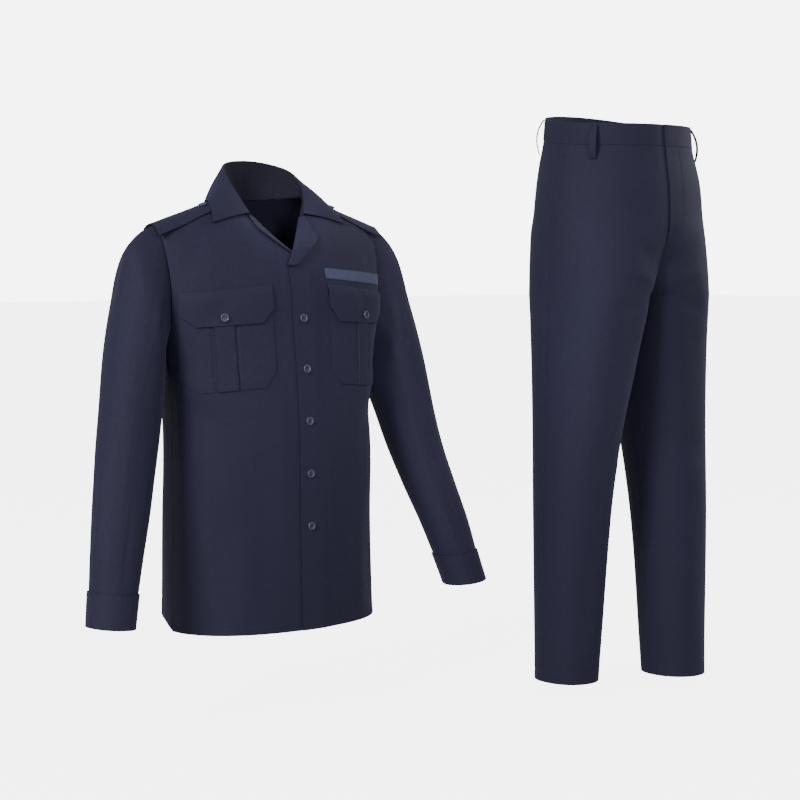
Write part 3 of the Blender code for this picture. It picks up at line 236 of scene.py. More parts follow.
# Looks: cloth
SHELL = 0.0011
SEAM_DIP = 0.0007
SKIN = 0.0002
PATCH_ROUND = 0.0003
STRAP_ROUND = 0.0005
SMOOTH_ANGLE = 40.0
ROUND_ANGLE = 50.0
FOLD_FADE_POWER = 0.7
CLOTH_LIGHT = (0.0158, 0.0150, 0.0375)
CLOTH_DARK = (0.0133, 0.0127, 0.0318)
# About half as bright as the cloth's face: partly the reverse's own duller tone, partly painted shade
# for the inside of the collar stand
SHADED_REVERSE_LIGHT = (0.0080, 0.0078, 0.0185)
SHADED_REVERSE_DARK = (0.0060, 0.0058, 0.0140)
TAPE_LIGHT = (0.056, 0.064, 0.115)
TAPE_DARK = (0.040, 0.046, 0.088)
THREAD = (0.018, 0.019, 0.042)
THREAD_LIGHT = tuple(c * 1.25 for c in THREAD)
BUTTON_COLOUR = (0.042, 0.046, 0.085)
# Painted shade: near-black discs stand for the button's holes
BUTTON_HOLE_SHADE = (0.010, 0.011, 0.022)
# Painted shade: the button's dish is coloured darker than its rim, for the shade in the recess
BUTTON_DISH_SHADE = (0.022, 0.024, 0.048)
CLOTH_SHEEN = {"Sheen Roughness": 0.45, "Sheen Tint": (0.55, 0.60, 0.95, 1.0),
               "Specular IOR Level": 0.2}
CLOTH_MOTTLE = {"Scale": 160.0, "Detail": 6.0, "Roughness": 0.62}
CLOTH_STOPS = (0.30, 0.72)
CLOTH_SLUB = {"Scale": 900.0, "Detail": 2.0}
CLOTH_BUMP = {"Strength": 0.22, "Distance": 0.0003}
PLASTIC_COAT = 0.15
PLASTIC_CLOUD = {"Scale": 320.0, "Detail": 3.0}
PLASTIC_STOPS = (0.35, 0.68)

# Looks: stitches
STITCH_LENGTH = 0.0026
STITCH_PITCH = 0.0036
STITCH_RADIUS = 0.00021
STITCH_SIDES = 5
STITCH_SINK = 0.4
STITCH_SHOULDERS = (0.22, 0.78)
STITCH_LIFT = 0.0001
EDGE_STITCH = 0.0018
TOP_STITCH = 0.0062
BOTH_ROWS = (EDGE_STITCH, TOP_STITCH)
ALL_SIDES = ("low", "high", "left", "right")
TACK = {"length": 0.0009, "pitch": 0.0010}

# Looks: buttons and their holes, with profiles as (share of the radius, share of the height)
BUTTON_PROFILE = ((0.90, 0.0), (0.985, 0.16), (1.0, 0.42), (0.975, 0.74), (0.90, 0.95), (0.80, 1.0),
                  (0.72, 0.93), (0.66, 0.74), (0.60, 0.62), (0.40, 0.58), (0.0, 0.56))
BUTTON_ROUND = 40
DISH_SHADE_SHARE = 0.62
DISH_FLOOR = 0.565
HOLE_SPREAD = 0.0017
HOLE_RADIUS = 0.0008
HOLE_ROUND = 12
HOLE_HEIGHT = 0.00022
HOLE_PROFILE = ((1.0, 0.0), (0.9, 1.0))
BUTTON_THREAD_SHIFT = 0.00025
BUTTON_THREAD_LIFT = 0.0004
BUTTON_THREAD_BOW = 0.0002
BUTTON_THREAD = {"radius": 0.00022, "length": 2 * HOLE_SPREAD * 0.96, "pitch": 0.02}

# Looks: where the shirt's seams, hems and stitches lie, as rows, columns and heights of relief
FRONT_FINE = 4
HEM_ROW = 0.25
HEM_RISE = 0.0005
PLACKET_COLUMN = 4.7
PLACKET_TOP_ROW = 14.2
PLACKET_RISE = 0.0004
LAPEL_FOOT_ROW = 14.0
UPRIGHT_FINE = 8
LEVEL_FINE = 6
FRONT_EDGE_COLUMN = 0.35
FRONT_HEM_STITCH = 0.24
FRONT_HEM_FROM = 0.4
FRONT_YOKE_ROWS = (19.6, 19.3)
FRONT_YOKE_ENDS = (1.0, 0.2)
FRONT_ARMHOLE_ROWS = (8.2, 19.5)
FRONT_ARMHOLE_INSET = 0.28
PLACKET_STITCH_FROM = 0.3
BACK_FINE = 5
BACK_YOKE_ROWS = (11.2, 11.35)
BACK_YOKE_INSET = 0.2
BACK_HEM_STITCH = 0.22
SLEEVE_FINE = (9, 6)
SLEEVE_RUN_SCALE = 0.05
SLEEVE_EASE_TOP = 0.8
SLEEVE_EASE_FOOT = 0.5
SLEEVE_EASE_LEAST = 0.25
ARMHOLE_STITCH = 6
CUFF_FINE = 8
CUFF_SHELL = SHELL * 1.5
CUFF_LAP = (1.2, 1.6)
CUFF_LAP_RISE = 0.0006
CUFF_STITCH_ROWS = (0.25, 2.9, 1.0)
CUFF_BUTTON_ROW = 1.9
CUFF_BUTTON_LIFT = 0.0005
CUFF_LAP_STITCH = 1.0
POCKET_FINE = (8, 12)
PATCH_FINE = (10, 8)
CORNER_CUT = 1.0
POCKET_BASE = 0.0002
POCKET_THICK = 0.0018
PLEAT_HEIGHT = 0.0016
PLEAT_GROOVE_DEPTH = 0.0015
PLEAT_GROOVE_WIDTH = 0.19
FLAP_BASE = 0.0003
FLAP_STAND = 0.0036
FLAP_HINGE_ROWS = 0.8
FLAP_THICK = 0.0017
FLAP_BUTTON_LIFT = 0.0060
FRONT_BUTTON_LIFT = 0.0002
TAPE_BASE = 0.0003
TAPE_HEIGHT = 0.0011
BUTTONHOLE_LENGTH = 0.019
BUTTONHOLE_HALF_WIDTH = 0.0008
BUTTONHOLE_END = 0.0012
BUTTONHOLE_LIFT = 0.0007
BUTTONHOLE_STITCH = {"radius": 0.0003, "length": 0.0006, "pitch": 0.0007}
LAPEL_FINE = 6
LAPEL_TURNS = (-90, -40, 10, 55)
LAPEL_STITCH = 6
COLLAR_FINE = (6, 7)
COLLAR_STAND_END = 2.6
COLLAR_EDGE_STITCH = 0.005
COLLAR_STAND_STITCH = 8
COLLAR_PROBE = 0.02
COLLAR_UNDER_LIFT = 0.0002
STRAP_FINE = 6
SLOPE_PROBE = 0.01
HALVINGS = 30

# Looks: trousers
LEG_ROW_FINE = 4
LEG_ANGLE_STEP = 3.5
LEG_LAST_ANGLE = 165
LEG_FINE_ROOM = 0.03
GROOVE_WIDTH = 0.022
GROOVE_Z = (-0.170, -0.045)
GROOVE_DEPTH = 0.006
GROOVE_POWER = 1.5
LEG_FOLDS_FADE = 1 / 12
LEG_HEM = 0.020
LEG_HEM_RISE = 0.0004
LEG_HEM_STITCH = 0.022
FLY_STITCH_L = (0.036, 0.040)
FLY_STITCH_Z = (0.094, -0.020)
FLY_STITCH_FOOT = 0.006
FLY_STITCH_END = 0.001
FLY_BAR_L = (0.0015, 0.0020)
FLY_BAR_Z = (-0.049, -0.060)
WAISTBAND_FINE = 5
WAISTBAND_ROWS = 15
WAISTBAND_CROWN = 0.0005
WAISTBAND_ROUND = 0.0006
WAISTBAND_SINK_SHARES = (0.25, 0.6, 0.9)
BELT_LOOP_FINE = (41, 9)
BELT_LOOP_TACK_ROWS = (2, 3, -4, -3)
BELT_LOOP_TACK = 0.00035
BELT_LOOP_POWER = 0.8
SIDE_POCKET_ANGLES = (0.045, 0.085)
SIDE_POCKET_Z = (0.082, -0.078)
SIDE_POCKET_TACK_Z = (0.072, -0.068)
SIDE_POCKET_TACK_ANGLES = (0.01, 0.095)
SIDE_POCKET_TACK = 0.0004
SIDE_POCKET_LIFT = SKIN + 0.0002
SIDE_POCKET_TACK_LIFT = SKIN + 0.0003

# Looks: folds as strokes, each (l, z) to (l, z), its half width, and its height out of the cloth
FRONT_FOLDS = (
    ((0.185, -0.235), (0.120, -0.150), 0.016, -0.0022),
    ((0.200, -0.300), (0.150, -0.360), 0.020, 0.0026),
    ((0.196, -0.345), (0.120, -0.440), 0.018, -0.0028),
    ((0.190, -0.400), (0.140, -0.560), 0.022, 0.0026),
    ((0.100, -0.420), (0.085, -0.700), 0.024, -0.0022),
    ((0.150, -0.520), (0.160, -0.745), 0.020, -0.0024),
    ((0.050, -0.340), (0.046, -0.600), 0.018, 0.0018),
    ((0.105, -0.560), (0.125, -0.748), 0.020, 0.0022),
    ((0.165, -0.060), (0.195, -0.140), 0.014, -0.0018),
    ((0.095, -0.045), (0.120, -0.110), 0.018, 0.0014),
)
BACK_FOLDS = (
    ((0.190, -0.260), (0.110, -0.170), 0.018, -0.0024),
    ((0.195, -0.320), (0.120, -0.420), 0.022, 0.0028),
    ((0.185, -0.400), (0.090, -0.500), 0.020, -0.0030),
    ((0.060, -0.200), (0.050, -0.480), 0.024, -0.0024),
    ((0.120, -0.480), (0.130, -0.745), 0.024, 0.0030),
    ((0.030, -0.430), (0.020, -0.745), 0.022, -0.0026),
    ((0.165, -0.540), (0.170, -0.748), 0.020, -0.0022),
    ((-0.050, -0.240), (-0.030, -0.560), 0.026, 0.0022),
    ((-0.110, -0.420), (-0.095, -0.740), 0.024, -0.0026),
    ((-0.185, -0.330), (-0.110, -0.440), 0.022, 0.0026),
    ((-0.190, -0.270), (-0.120, -0.190), 0.018, -0.0022),
    ((-0.160, -0.500), (-0.150, -0.745), 0.022, 0.0024),
    ((0.000, -0.060), (0.000, -0.200), 0.030, -0.0012),
)
TROUSER_FRONT_FOLDS = (
    ((0.012, -0.120), (0.080, -0.075), 0.012, -0.0026),
    ((0.010, -0.150), (0.095, -0.125), 0.011, 0.0024),
    ((0.014, -0.178), (0.110, -0.200), 0.013, -0.0022),
    ((0.105, 0.080), (0.100, -0.020), 0.014, 0.0016),
    ((0.150, 0.060), (0.160, -0.060), 0.016, -0.0016),
    ((0.070, -0.260), (0.085, -0.400), 0.020, 0.0018),
    ((0.060, -0.440), (0.140, -0.480), 0.016, -0.0024),
    ((0.055, -0.475), (0.130, -0.515), 0.014, 0.0022),
    ((0.070, -0.560), (0.080, -0.800), 0.016, 0.0016),
    ((0.120, -0.600), (0.125, -0.860), 0.016, -0.0018),
    ((0.060, -0.820), (0.130, -0.846), 0.012, -0.0018),
)
TROUSER_BACK_FOLDS = (
    ((0.014, -0.130), (0.100, -0.090), 0.014, -0.0030),
    ((0.012, -0.175), (0.120, -0.185), 0.014, 0.0028),
    ((0.020, -0.205), (0.130, -0.230), 0.016, -0.0026),
    ((0.060, 0.070), (0.070, -0.030), 0.018, 0.0018),
    ((0.130, 0.070), (0.140, -0.050), 0.018, -0.0018),
    ((0.055, -0.430), (0.140, -0.455), 0.015, -0.0034),
    ((0.060, -0.465), (0.145, -0.490), 0.015, 0.0032),
    ((0.065, -0.505), (0.135, -0.530), 0.015, -0.0026),
    ((0.100, -0.580), (0.095, -0.840), 0.018, 0.0022),
    ((0.060, -0.810), (0.130, -0.840), 0.013, -0.0022),
)
# On a sleeve a place is (turn, run): turn 0 is its inside, 0.25 its back and 0.75 its front
SLEEVE_FOLDS = (
    ((0.55, 0.2), (0.80, 2.2), 0.055, -0.0030),
    ((0.62, 0.3), (0.92, 3.2), 0.050, 0.0030),
    ((0.45, 0.3), (0.22, 2.6), 0.055, -0.0030),
    ((0.36, 0.6), (0.10, 3.4), 0.050, 0.0028),
    ((0.70, 5.2), (0.95, 5.9), 0.050, -0.0025),
    ((0.66, 5.9), (0.98, 6.5), 0.050, 0.0024),
    ((0.72, 6.6), (1.00, 7.0), 0.045, -0.0021),
    ((0.30, 5.4), (0.04, 6.1), 0.050, -0.0023),
    ((0.28, 6.1), (0.02, 6.7), 0.045, 0.0021),
    ((0.60, 6.4), (0.55, 9.0), 0.040, 0.0015),
    ((0.80, 7.6), (0.78, 10.0), 0.030, -0.0013),
    ((0.68, 8.2), (0.66, 10.0), 0.026, 0.0011),
    ((0.30, 7.8), (0.32, 10.0), 0.030, -0.0013),
    ((0.18, 8.2), (0.20, 10.0), 0.026, 0.0011),
)

# Looks: camera and light, in the photograph's frame of 800 by 800
CAMERA_PLACE = (-1.8284, -2.7560, -0.108)
CAMERA_TURN = -37.5
CAMERA_TILT = 4.293
CAMERA_LENS = 83.9
CAMERA_FILM = 36.0
FLOOR_Z = -0.905
FLOOR_REACH = 30.0
FLOOR_GLOW = 5.0
FLOOR_COLOUR = (0.55, 0.55, 0.55, 1.0)
FLOOR_ROUGHNESS = 0.9
WHITE = (1.0, 1.0, 1.0, 1.0)
SPOT_BLEND = 0.9
SKY_LIGHT = 0.42
SKY_SEEN = 6.5
# Each light stands at a place and is turned to its aim: area lights as (name, place, aim, size,
# power, colour), and narrow ones, into the open neck and onto the sleeve that the body shades, as
# (name, place, aim, power, angle, softness)
AREA_LIGHTS = (
    ("key", (-3.5, -1.2, 1.5), (0.2, -0.1, -0.35), (1.2, 1.2), 158.0, (1.0, 0.99, 0.97)),
    ("front", (-0.6, -3.6, 1.2), (0.3, -0.1, -0.2), (1.4, 1.4), 44.0, (0.98, 0.99, 1.0)),
    ("rim", (2.8, -0.8, 0.9), (0.3, -0.1, -0.3), (1.5, 1.5), 30.0, (1.0, 1.0, 1.0)),
)
SPOT_LIGHTS = (
    ("neck", (0.02, -0.95, 0.66), (0.0, 0.12, -0.13), 40.0, 10.0, 0.06),
    ("far_side", (-0.6, -2.8, 0.6), (0.285, 0.0, -0.34), 170.0, 15.0, 0.2),
)


def curve(at, values):
    """A smooth function through the values of a table's column."""
    at = np.asarray(at, float)
    values = np.asarray(values, float)
    if at[0] > at[-1]:
        at, values = at[::-1], values[::-1]
    slopes = np.gradient(values, at, axis=0)

    def read(x):
        x = min(max(x, at[0]), at[-1])
        k = min(int(np.searchsorted(at, x, side="right")) - 1, len(at) - 2)
        span = at[k + 1] - at[k]
        t = (x - at[k]) / span
        return ((1 + 2 * t) * (1 - t) ** 2 * values[k] + t * (1 - t) ** 2 * span * slopes[k]
                + t * t * (3 - 2 * t) * values[k + 1] + t * t * (t - 1) * span * slopes[k + 1])

    return read


def smooth_step(x):
    """A soft step from 0 at 0 to 1 at 1."""
    x = min(max(x, 0.0), 1.0)
    return x * x * (3 - 2 * x)


def unit(vectors):
    """The same directions at length 1."""
    return vectors / np.linalg.norm(vectors, axis=-1, keepdims=True)


def point(l, f, z):
    """A place that is l to the wearer's left, f forward and z up."""
    return np.array((l, -f, z))


def grid_normals(points, around=False):
    """Unit normals of a grid of points; columns run anticlockwise seen from outside."""
    down = np.gradient(points, axis=0)
    if around:
        across = np.roll(points, -1, axis=1) - np.roll(points, 1, axis=1)
    else:
        across = np.gradient(points, axis=1)
    return unit(np.cross(across, down))


def square_to_seam(normals, axis):
    """Normals with no part along a seam's own axis, so that two walls meet face to face."""
    flat = normals.copy()
    flat[..., axis] = 0.0
    return unit(flat)


def patch_cells(rows, columns, around=False):
    """The four corners of each cell of a grid, anticlockwise seen from outside."""
    last = columns if around else columns - 1
    return [((i, j), (i, (j + 1) % columns), (i + 1, (j + 1) % columns), (i + 1, j))
            for i in range(rows - 1) for j in range(last)]


class Panel:
    """A cut piece: the grid of its outer points, with the normals that give its thickness."""

    def __init__(self, points, normals):
        self.points = points
        self.normals = normals

    def at(self, row, column, lift=0.0):
        """A point on the panel, moved out; row and column may lie between its own lines."""
        i = min(int(row), len(self.points) - 2)
        j = min(int(column), len(self.points[0]) - 2)
        u, v = row - i, column - j
        total = 0.0
        for grid, share in ((self.points, 1.0), (self.normals, lift)):
            lower = grid[i][j] * (1 - v) + grid[i][j + 1] * v
            upper = grid[i + 1][j] * (1 - v) + grid[i + 1][j + 1] * v
            total = total + (lower * (1 - u) + upper * u) * share
        return total

    def spot(self, row, column):
        """A point on the panel and the unit normal there."""
        here = self.at(row, column)
        return here, unit(self.at(row, column, 1.0) - here)


def closed(line):
    """A round line of points that ends where it starts."""
    return np.vstack((line, line[:1]))


# Shirt body

half_width = curve(SHIRT_Z, SHIRT_HALF_WIDTH)
front_depth = curve(SHIRT_Z, SHIRT_FRONT)
back_depth = curve(SHIRT_Z, SHIRT_BACK)
pocket_outer = curve(POCKET_OUTER_Z, POCKET_OUTER_L)
front_armhole = curve(FRONT_ARMHOLE_Z, FRONT_ARMHOLE_L)
back_armhole = curve(BACK_ARMHOLE_Z, BACK_ARMHOLE_L)
roll_l = curve(ROLL_AT, ROLL_L)
roll_z = curve(ROLL_AT, ROLL_Z)
under_roll_z = curve(ROLL_AT, UNDER_ROLL_Z)
roll_behind = curve(ROLL_AT, ROLL_BEHIND_CHEST)


def shoulder_z(l):
    """Height of the shoulder line over the width l."""
    return NECK_SIDE_Z - SHOULDER_FALL * (abs(l) - NECK_HALF_WIDTH)


def shirt_f(l, z, back=False):
    """How far forward the shirt's outer face lies at the width l and the height z."""
    low = min(z, CHEST_Z)
    depth = -back_depth(low) if back else front_depth(low)
    share = min(abs(l) / half_width(z), 1.0)
    f = SIDE_F + (depth - SIDE_F) * (1 - share ** SHIRT_SQUARENESS) ** (1 / SHIRT_SQUARENESS)
    if z > CHEST_Z:
        power = BACK_SHOULDER_POWER if back else FRONT_SHOULDER_POWER
        climb = min((z - CHEST_Z) / (shoulder_z(l) - CHEST_Z), 1.0)
        f = SHOULDER_F + (f - SHOULDER_F) * (1 - climb ** power) ** (1 / power)
    return f


def round_the_side(l, z, share):
    """A width between l and the side, stepped by the turn of the body's section."""
    w = half_width(z)
    turn = math.asin(min((abs(l) / w) ** (SHIRT_SQUARENESS / 2), 1.0))
    outer = front_armhole(z) if z > FRONT_ARMHOLE_Z[0] else w
    end = math.asin(min((outer / w) ** (SHIRT_SQUARENESS / 2), 1.0))
    return w * math.sin(turn + (end - turn) * share) ** (2 / SHIRT_SQUARENESS)


def front_row(z_middle, drop):
    """Widths and heights of one row of a front below the lapel."""
    row = [(l, z_middle) for l in OVERLAP_COLUMNS]
    for share in POCKET_COLUMNS:
        z = z_middle - drop * share * (POCKET_OUTER_L[3] - POCKET_INNER)
        row.append((POCKET_INNER + (pocket_outer(z) - POCKET_INNER) * share, z))
    z = row[-1][1] - drop * 0.006
    for share in (0.5, 1.0):
        row.append((round_the_side(row[POCKET_LAST_COLUMN][0], z, share), z))
    return row


def front_panel(lifted):
    """Grid of a front: rows from hem to shoulder, columns from the front edge to the side."""
    neck_z = roll_z if lifted else under_roll_z
    rows = [front_row(z, drop) for z, drop in zip(FRONT_ROW_Z, FRONT_ROW_DROP)]
    points = [[point(l, shirt_f(l, z), z) for l, z in row] for row in rows]
    chest = rows[-1]
    edge = chest[0][0]
    span = chest[-1][0] - edge
    for k in FRONT_FAN:
        row = []
        for l, z in chest:
            top_l = NECK_HALF_WIDTH + (SHOULDER_TIP - NECK_HALF_WIDTH) * (l - edge) / span
            row_l = l + (top_l - l) * k
            row.append((row_l, z + (shoulder_z(row_l) - z) * math.sin(k * math.pi / 2)))
        pull_l = roll_l(k) - row[0][0]
        pull_z = neck_z(k) - row[0][1]
        for column, (l, _) in enumerate(chest):
            share = max(1 - (l - edge) / ROLL_REACH, 0.0) ** 2
            row_l = row[column][0] + pull_l * share
            row_z = row[column][1] + pull_z * share
            row[column] = point(row_l, shirt_f(row_l, row_z) - roll_behind(k) * share, row_z)
        points.append(row)
    points = np.array(points)
    normals = grid_normals(points)
    normals[:UNDERARM_ROW + 1, -1] = square_to_seam(normals[:UNDERARM_ROW + 1, -1], 1)
    normals[-1] = square_to_seam(normals[-1], 1)
    points[:UNDERARM_ROW + 1, -1, 1] -= SEAM / 2
    points[-1, :, 1] -= SEAM / 2
    if lifted:
        points = points + normals * front_lift(points)[..., None]
    return Panel(points, normals)


def front_lift(points):
    """How far the overlapping front stands off the one beneath it."""
    lift = np.zeros(points.shape[:2])
    for i, row in enumerate(points):
        for j, (l, _, z) in enumerate(row):
            near = smooth_step((LIFT_END - l) / (LIFT_END - 0.020))
            low = smooth_step((-0.055 - z) / 0.030)
            lift[i, j] = OVERLAP_LIFT * near * low
    return lift


def back_top_l(step):
    """Width of the back's top edge at a column, with the neck's side on column NECK_STEP."""
    if abs(step) <= NECK_STEP:
        return NECK_HALF_WIDTH * step / NECK_STEP
    share = (abs(step) - NECK_STEP) / (BACK_COLUMNS - NECK_STEP)
    return math.copysign(NECK_HALF_WIDTH + (SHOULDER_TIP - NECK_HALF_WIDTH) * share, step)


def hem_notch(step):
    """How much the back's hem rises behind each side seam."""
    return HEM_NOTCH * smooth_step(1 - abs(abs(step) - HEM_NOTCH_COLUMN) / HEM_NOTCH_REACH)


def back_panel():
    """Grid of the back: rows from hem to shoulder, columns from the right side to the left."""
    columns = range(-BACK_COLUMNS, BACK_COLUMNS + 1)
    points = []
    for z in BACK_ROW_Z:
        w = half_width(z)
        edge = back_armhole(z) if z > BACK_ARMHOLE_Z[0] else w
        end = math.asin(min((edge / w) ** (SHIRT_SQUARENESS / 2), 1.0))
        row = []
        for step in columns:
            turn = math.sin(abs(step) / BACK_COLUMNS * end) ** (2 / SHIRT_SQUARENESS)
            l = math.copysign(w * turn, step)
            row.append((l, z + hem_notch(step) * (z == BACK_ROW_Z[0])))
        points.append(row)
    chest = points[-1]
    for k in BACK_FAN:
        row = []
        for step, (l, z) in zip(columns, chest):
            top_l = back_top_l(step)
            top_z = shoulder_z(top_l)
            if abs(top_l) < NECK_HALF_WIDTH:
                top_z = NECK_BACK_Z + (NECK_SIDE_Z - NECK_BACK_Z) * (top_l / NECK_HALF_WIDTH) ** 2
            row.append((l + (top_l - l) * k, z + (top_z - z) * math.sin(k * math.pi / 2)))
        points.append(row)
    points = np.array([[point(l, shirt_f(l, z, True), z) for l, z in row] for row in points])
    points = points[:, ::-1]
    normals = grid_normals(points)
    for edge in (0, -1):
        normals[:BACK_UNDERARM_ROW + 1, edge] = square_to_seam(
            normals[:BACK_UNDERARM_ROW + 1, edge], 1)
        points[:BACK_UNDERARM_ROW + 1, edge, 1] += SEAM / 2
    on_shoulder = np.abs(points[-1, :, 0]) >= NECK_HALF_WIDTH - 0.002
    normals[-1, on_shoulder] = square_to_seam(normals[-1, on_shoulder], 1)
    points[-1, on_shoulder, 1] += SEAM / 2
    return Panel(points, normals)


def shirt_z(l, f):
    """Height of the shirt's shoulders at a place seen from above."""
    inside = min(l, SHOULDER_BODY)
    back = f < SHOULDER_F
    low, high = CHEST_Z, shoulder_z(inside)
    for _ in range(HALVINGS):
        z = (low + high) / 2
        if (shirt_f(inside, z, back) < f) == back:
            low = z
        else:
            high = z
    return z - SHOULDER_FALL * (l - inside)


def square_to(direction, along):
    """A direction with no part along an edge."""
    along = unit(along)
    return unit(direction - along * np.sum(direction * along, axis=-1, keepdims=True))


def seam_start(edge, away, normals):
    """Where the next piece starts: a seam's gap past the edge and off its face."""
    return edge + SEAM * (away + normals)


def clear_of_edge(normals, away):
    """Normals that lean no part of a wall back over the edge that it is sewn to."""
    lean = np.maximum(np.sum(normals * away, axis=-1, keepdims=True), 0.0)
    return unit(normals - lean * away)


# Sleeves and cuffs

def armhole(front, back):
    """The edge of the left armhole, from the underarm up the back and down the front."""
    back_rows = range(BACK_UNDERARM_ROW + 1, len(back.points) - 1)
    front_rows = range(len(front.points) - 2, UNDERARM_ROW, -1)
    front_away = unit(front.points[:, -1] - front.points[:, -2])
    back_away = unit(back.points[:, 0] - back.points[:, 1])
    underarm = (front.points[UNDERARM_ROW, -1] + back.points[BACK_UNDERARM_ROW, 0]) / 2
    tip = (front.points[-1, -1] + back.points[-1, 0]) / 2
    side = np.array((1.0, 0.0, 0.0))
    upright = np.array((0.0, 0.0, 1.0))
    edge = [underarm] + [back.points[i, 0] for i in back_rows] + [tip]
    edge += [front.points[i, -1] for i in front_rows]
    away = [upright] + [back_away[i] for i in back_rows] + [unit(front_away[-1] + back_away[-1])]
    away += [front_away[i] for i in front_rows]
    normals = [side] + [back.normals[i, 0] for i in back_rows] + [front.normals[-1, -1]]
    normals += [front.normals[i, -1] for i in front_rows]
    edge = np.array(edge)
    away = square_to(np.array(away), np.roll(edge, -1, axis=0) - np.roll(edge, 1, axis=0))
    return edge, away, np.array(normals), len(back_rows) + 1


def ring_angles(edge, tip):
    """Angle of each armhole point round the sleeve: 0 at the underarm and pi at the tip."""
    sides = np.linalg.norm(np.diff(closed(edge), axis=0), axis=1)
    run = np.concatenate(((0.0,), np.cumsum(sides)))
    up = run[:tip + 1] / run[tip] * math.pi
    down = math.pi + (run[tip + 1:-1] - run[tip]) / (run[-1] - run[tip]) * math.pi
    return np.concatenate((up, down))


def ring(angles, inner, outer, middle_f, half_depth):
    """One ring of a sleeve between its inner and outer points, given as l and z."""
    inner, outer = np.array(inner), np.array(outer)
    points = []
    for angle in angles:
        l, z = (inner + outer) / 2 - (outer - inner) / 2 * math.cos(angle)
        points.append(point(l, middle_f - half_depth * math.sin(angle), z))
    return np.array(points)


def sleeve_grid(front, back):
    """Points and normals of the left sleeve: rows from the armhole to the wrist."""
    edge, away, normals, tip = armhole(front, back)
    angles = ring_angles(edge, tip)
    depth = (edge[:, 1].max() - edge[:, 1].min()) / 2
    middle = -(edge[:, 1].max() + edge[:, 1].min()) / 2
    plain = ring(angles, edge[0, ::2], edge[tip, ::2], middle, depth)
    rows = [seam_start(edge, away, normals)]
    for row in zip(SLEEVE_INNER_L, SLEEVE_INNER_Z, SLEEVE_OUTER_L, SLEEVE_OUTER_Z,
                   SLEEVE_MIDDLE_F, SLEEVE_HALF_DEPTH, ARMHOLE_SHARE):
        oval = ring(angles, row[0:2], row[2:4], row[4], row[5])
        rows.append(oval + (edge - plain) * row[6])
    points = np.array(rows)
    walls = grid_normals(points, around=True)
    walls[0] = clear_of_edge(walls[0], away)
    return points, walls


def cuff_grid(sleeve, sleeve_normals):
    """A cuff that takes in the end of its sleeve."""
    lift = FIRM + SEAM
    start = sleeve[-2] * CUFF_OVER_SLEEVE + sleeve[-1] * (1 - CUFF_OVER_SLEEVE)
    start_normals = unit(sleeve_normals[-2] * CUFF_OVER_SLEEVE
                         + sleeve_normals[-1] * (1 - CUFF_OVER_SLEEVE))
    centre = sleeve[-1].mean(axis=0)
    along = unit(centre - sleeve[-2].mean(axis=0))
    rows = [start + start_normals * lift, sleeve[-1] + sleeve_normals[-1] * lift]
    for share in (0.5, 1.0):
        size = 1 - (1 - CUFF_TAPER) * share
        rows.append(centre + (rows[1] - centre) * size + along * CUFF_LENGTH * share)
    points = np.array(rows)
    return points, grid_normals(points, around=True)


def neck_edge(front, back):
    """Edge, way out and normal of the neck seam, from the left notch to the back's middle."""
    edge, away, normals = [], [], []
    for row in COLLAR_FRONT_ROWS:
        here, normal = front.spot(row, 0.0)
        edge.append(here)
        away.append(square_to(here - front.at(row, 1.0), here - front.at(row - 0.2, 0.0)))
        normals.append(normal)
    top = len(back.points) - 1
    neck = BACK_COLUMNS - NECK_STEP
    for step in COLLAR_BACK_STEPS:
        here, normal = back.spot(top, neck + step)
        edge.append(here)
        away.append(unit(here - back.at(top - 1, neck + step)))
        normals.append(normal)
    return edge, away, normals


def resting(points, panels):
    """Points moved out of the panels beneath them, to lie COLLAR_CLEAR off their faces."""
    spots = np.vstack([panel.points.reshape(-1, 3) for panel in panels])
    ways = np.vstack([panel.normals.reshape(-1, 3) for panel in panels])
    rested = []
    for place in points:
        near = np.argmin(np.linalg.norm(spots - place, axis=1))
        rise = np.dot(place - spots[near], ways[near])
        rested.append(place + ways[near] * max(COLLAR_CLEAR - rise, 0.0))
    return rested


def collar_line(start, fold, leaf, along):
    """One section of the collar, on the side that faces the shirt: stand, fold and leaf."""
    up = fold - (start + leaf) / 2
    up = unit(up - along * np.dot(up, along))
    out = np.cross(along, up)
    out = out if np.dot(out, leaf - start) > 0 else -out
    hub = fold - up * (FIRM + FOLD_RADIUS)
    line = [start]
    stand_top = hub - out * FOLD_RADIUS
    line.append(start + (stand_top - start) * 0.5)
    for turn in (0, 60, 120, 180):
        c, s = math.cos(math.radians(turn)), math.sin(math.radians(turn))
        line.append(hub + FOLD_RADIUS * (up * s - out * c))
    leaf_top = line[-1]
    for share in (0.33, 0.67, 1.0):
        bulge = COLLAR_LEAF_BULGE * 4 * share * (1 - share)
        line.append(leaf_top + (leaf - leaf_top) * share + out * bulge)
    return line


# Trousers

leg_outer = curve(LEG_Z, LEG_OUTER)
leg_front = curve(LEG_Z, LEG_FRONT)
leg_back = curve(LEG_Z, LEG_BACK)
leg_middle = curve(LEG_Z, LEG_MIDDLE_F)
leg_stride = curve(LEG_Z, LEG_STRIDE)
leg_inside_square = curve(LEG_Z, LEG_INSIDE_SQUARE)
lower_leg_centre = curve(LEG_CENTRE_Z, LEG_CENTRE)


def bend(angle, inside):
    """Cosine and sine of a section a little squarer than an oval, most so on its inside."""
    c, s = math.cos(angle), math.sin(angle)
    power = 2 / (inside if c < 0 else LEG_SQUARE)
    return math.copysign(abs(c) ** power, c), math.copysign(abs(s) ** power, s)


def split(z):
    """How far the section has parted into two legs: 0 at the hips and 1 from the crotch down."""
    down = (CROTCH_FROM - z) / (CROTCH_FROM - CROTCH_Z)
    return min(max(down, 0.0), 1.0) ** CROTCH_POWER


def leg_centre(z):
    """Width at which the middle of the section lies."""
    share = split(z)
    return lower_leg_centre(z) if share == 1.0 else leg_outer(z) * share / (1 + share)


def leg_end(z):
    """Angle round the section at which the hips reach the middle, or the legs their inside."""
    return math.acos(-split(z) ** (leg_inside_square(z) / 2))


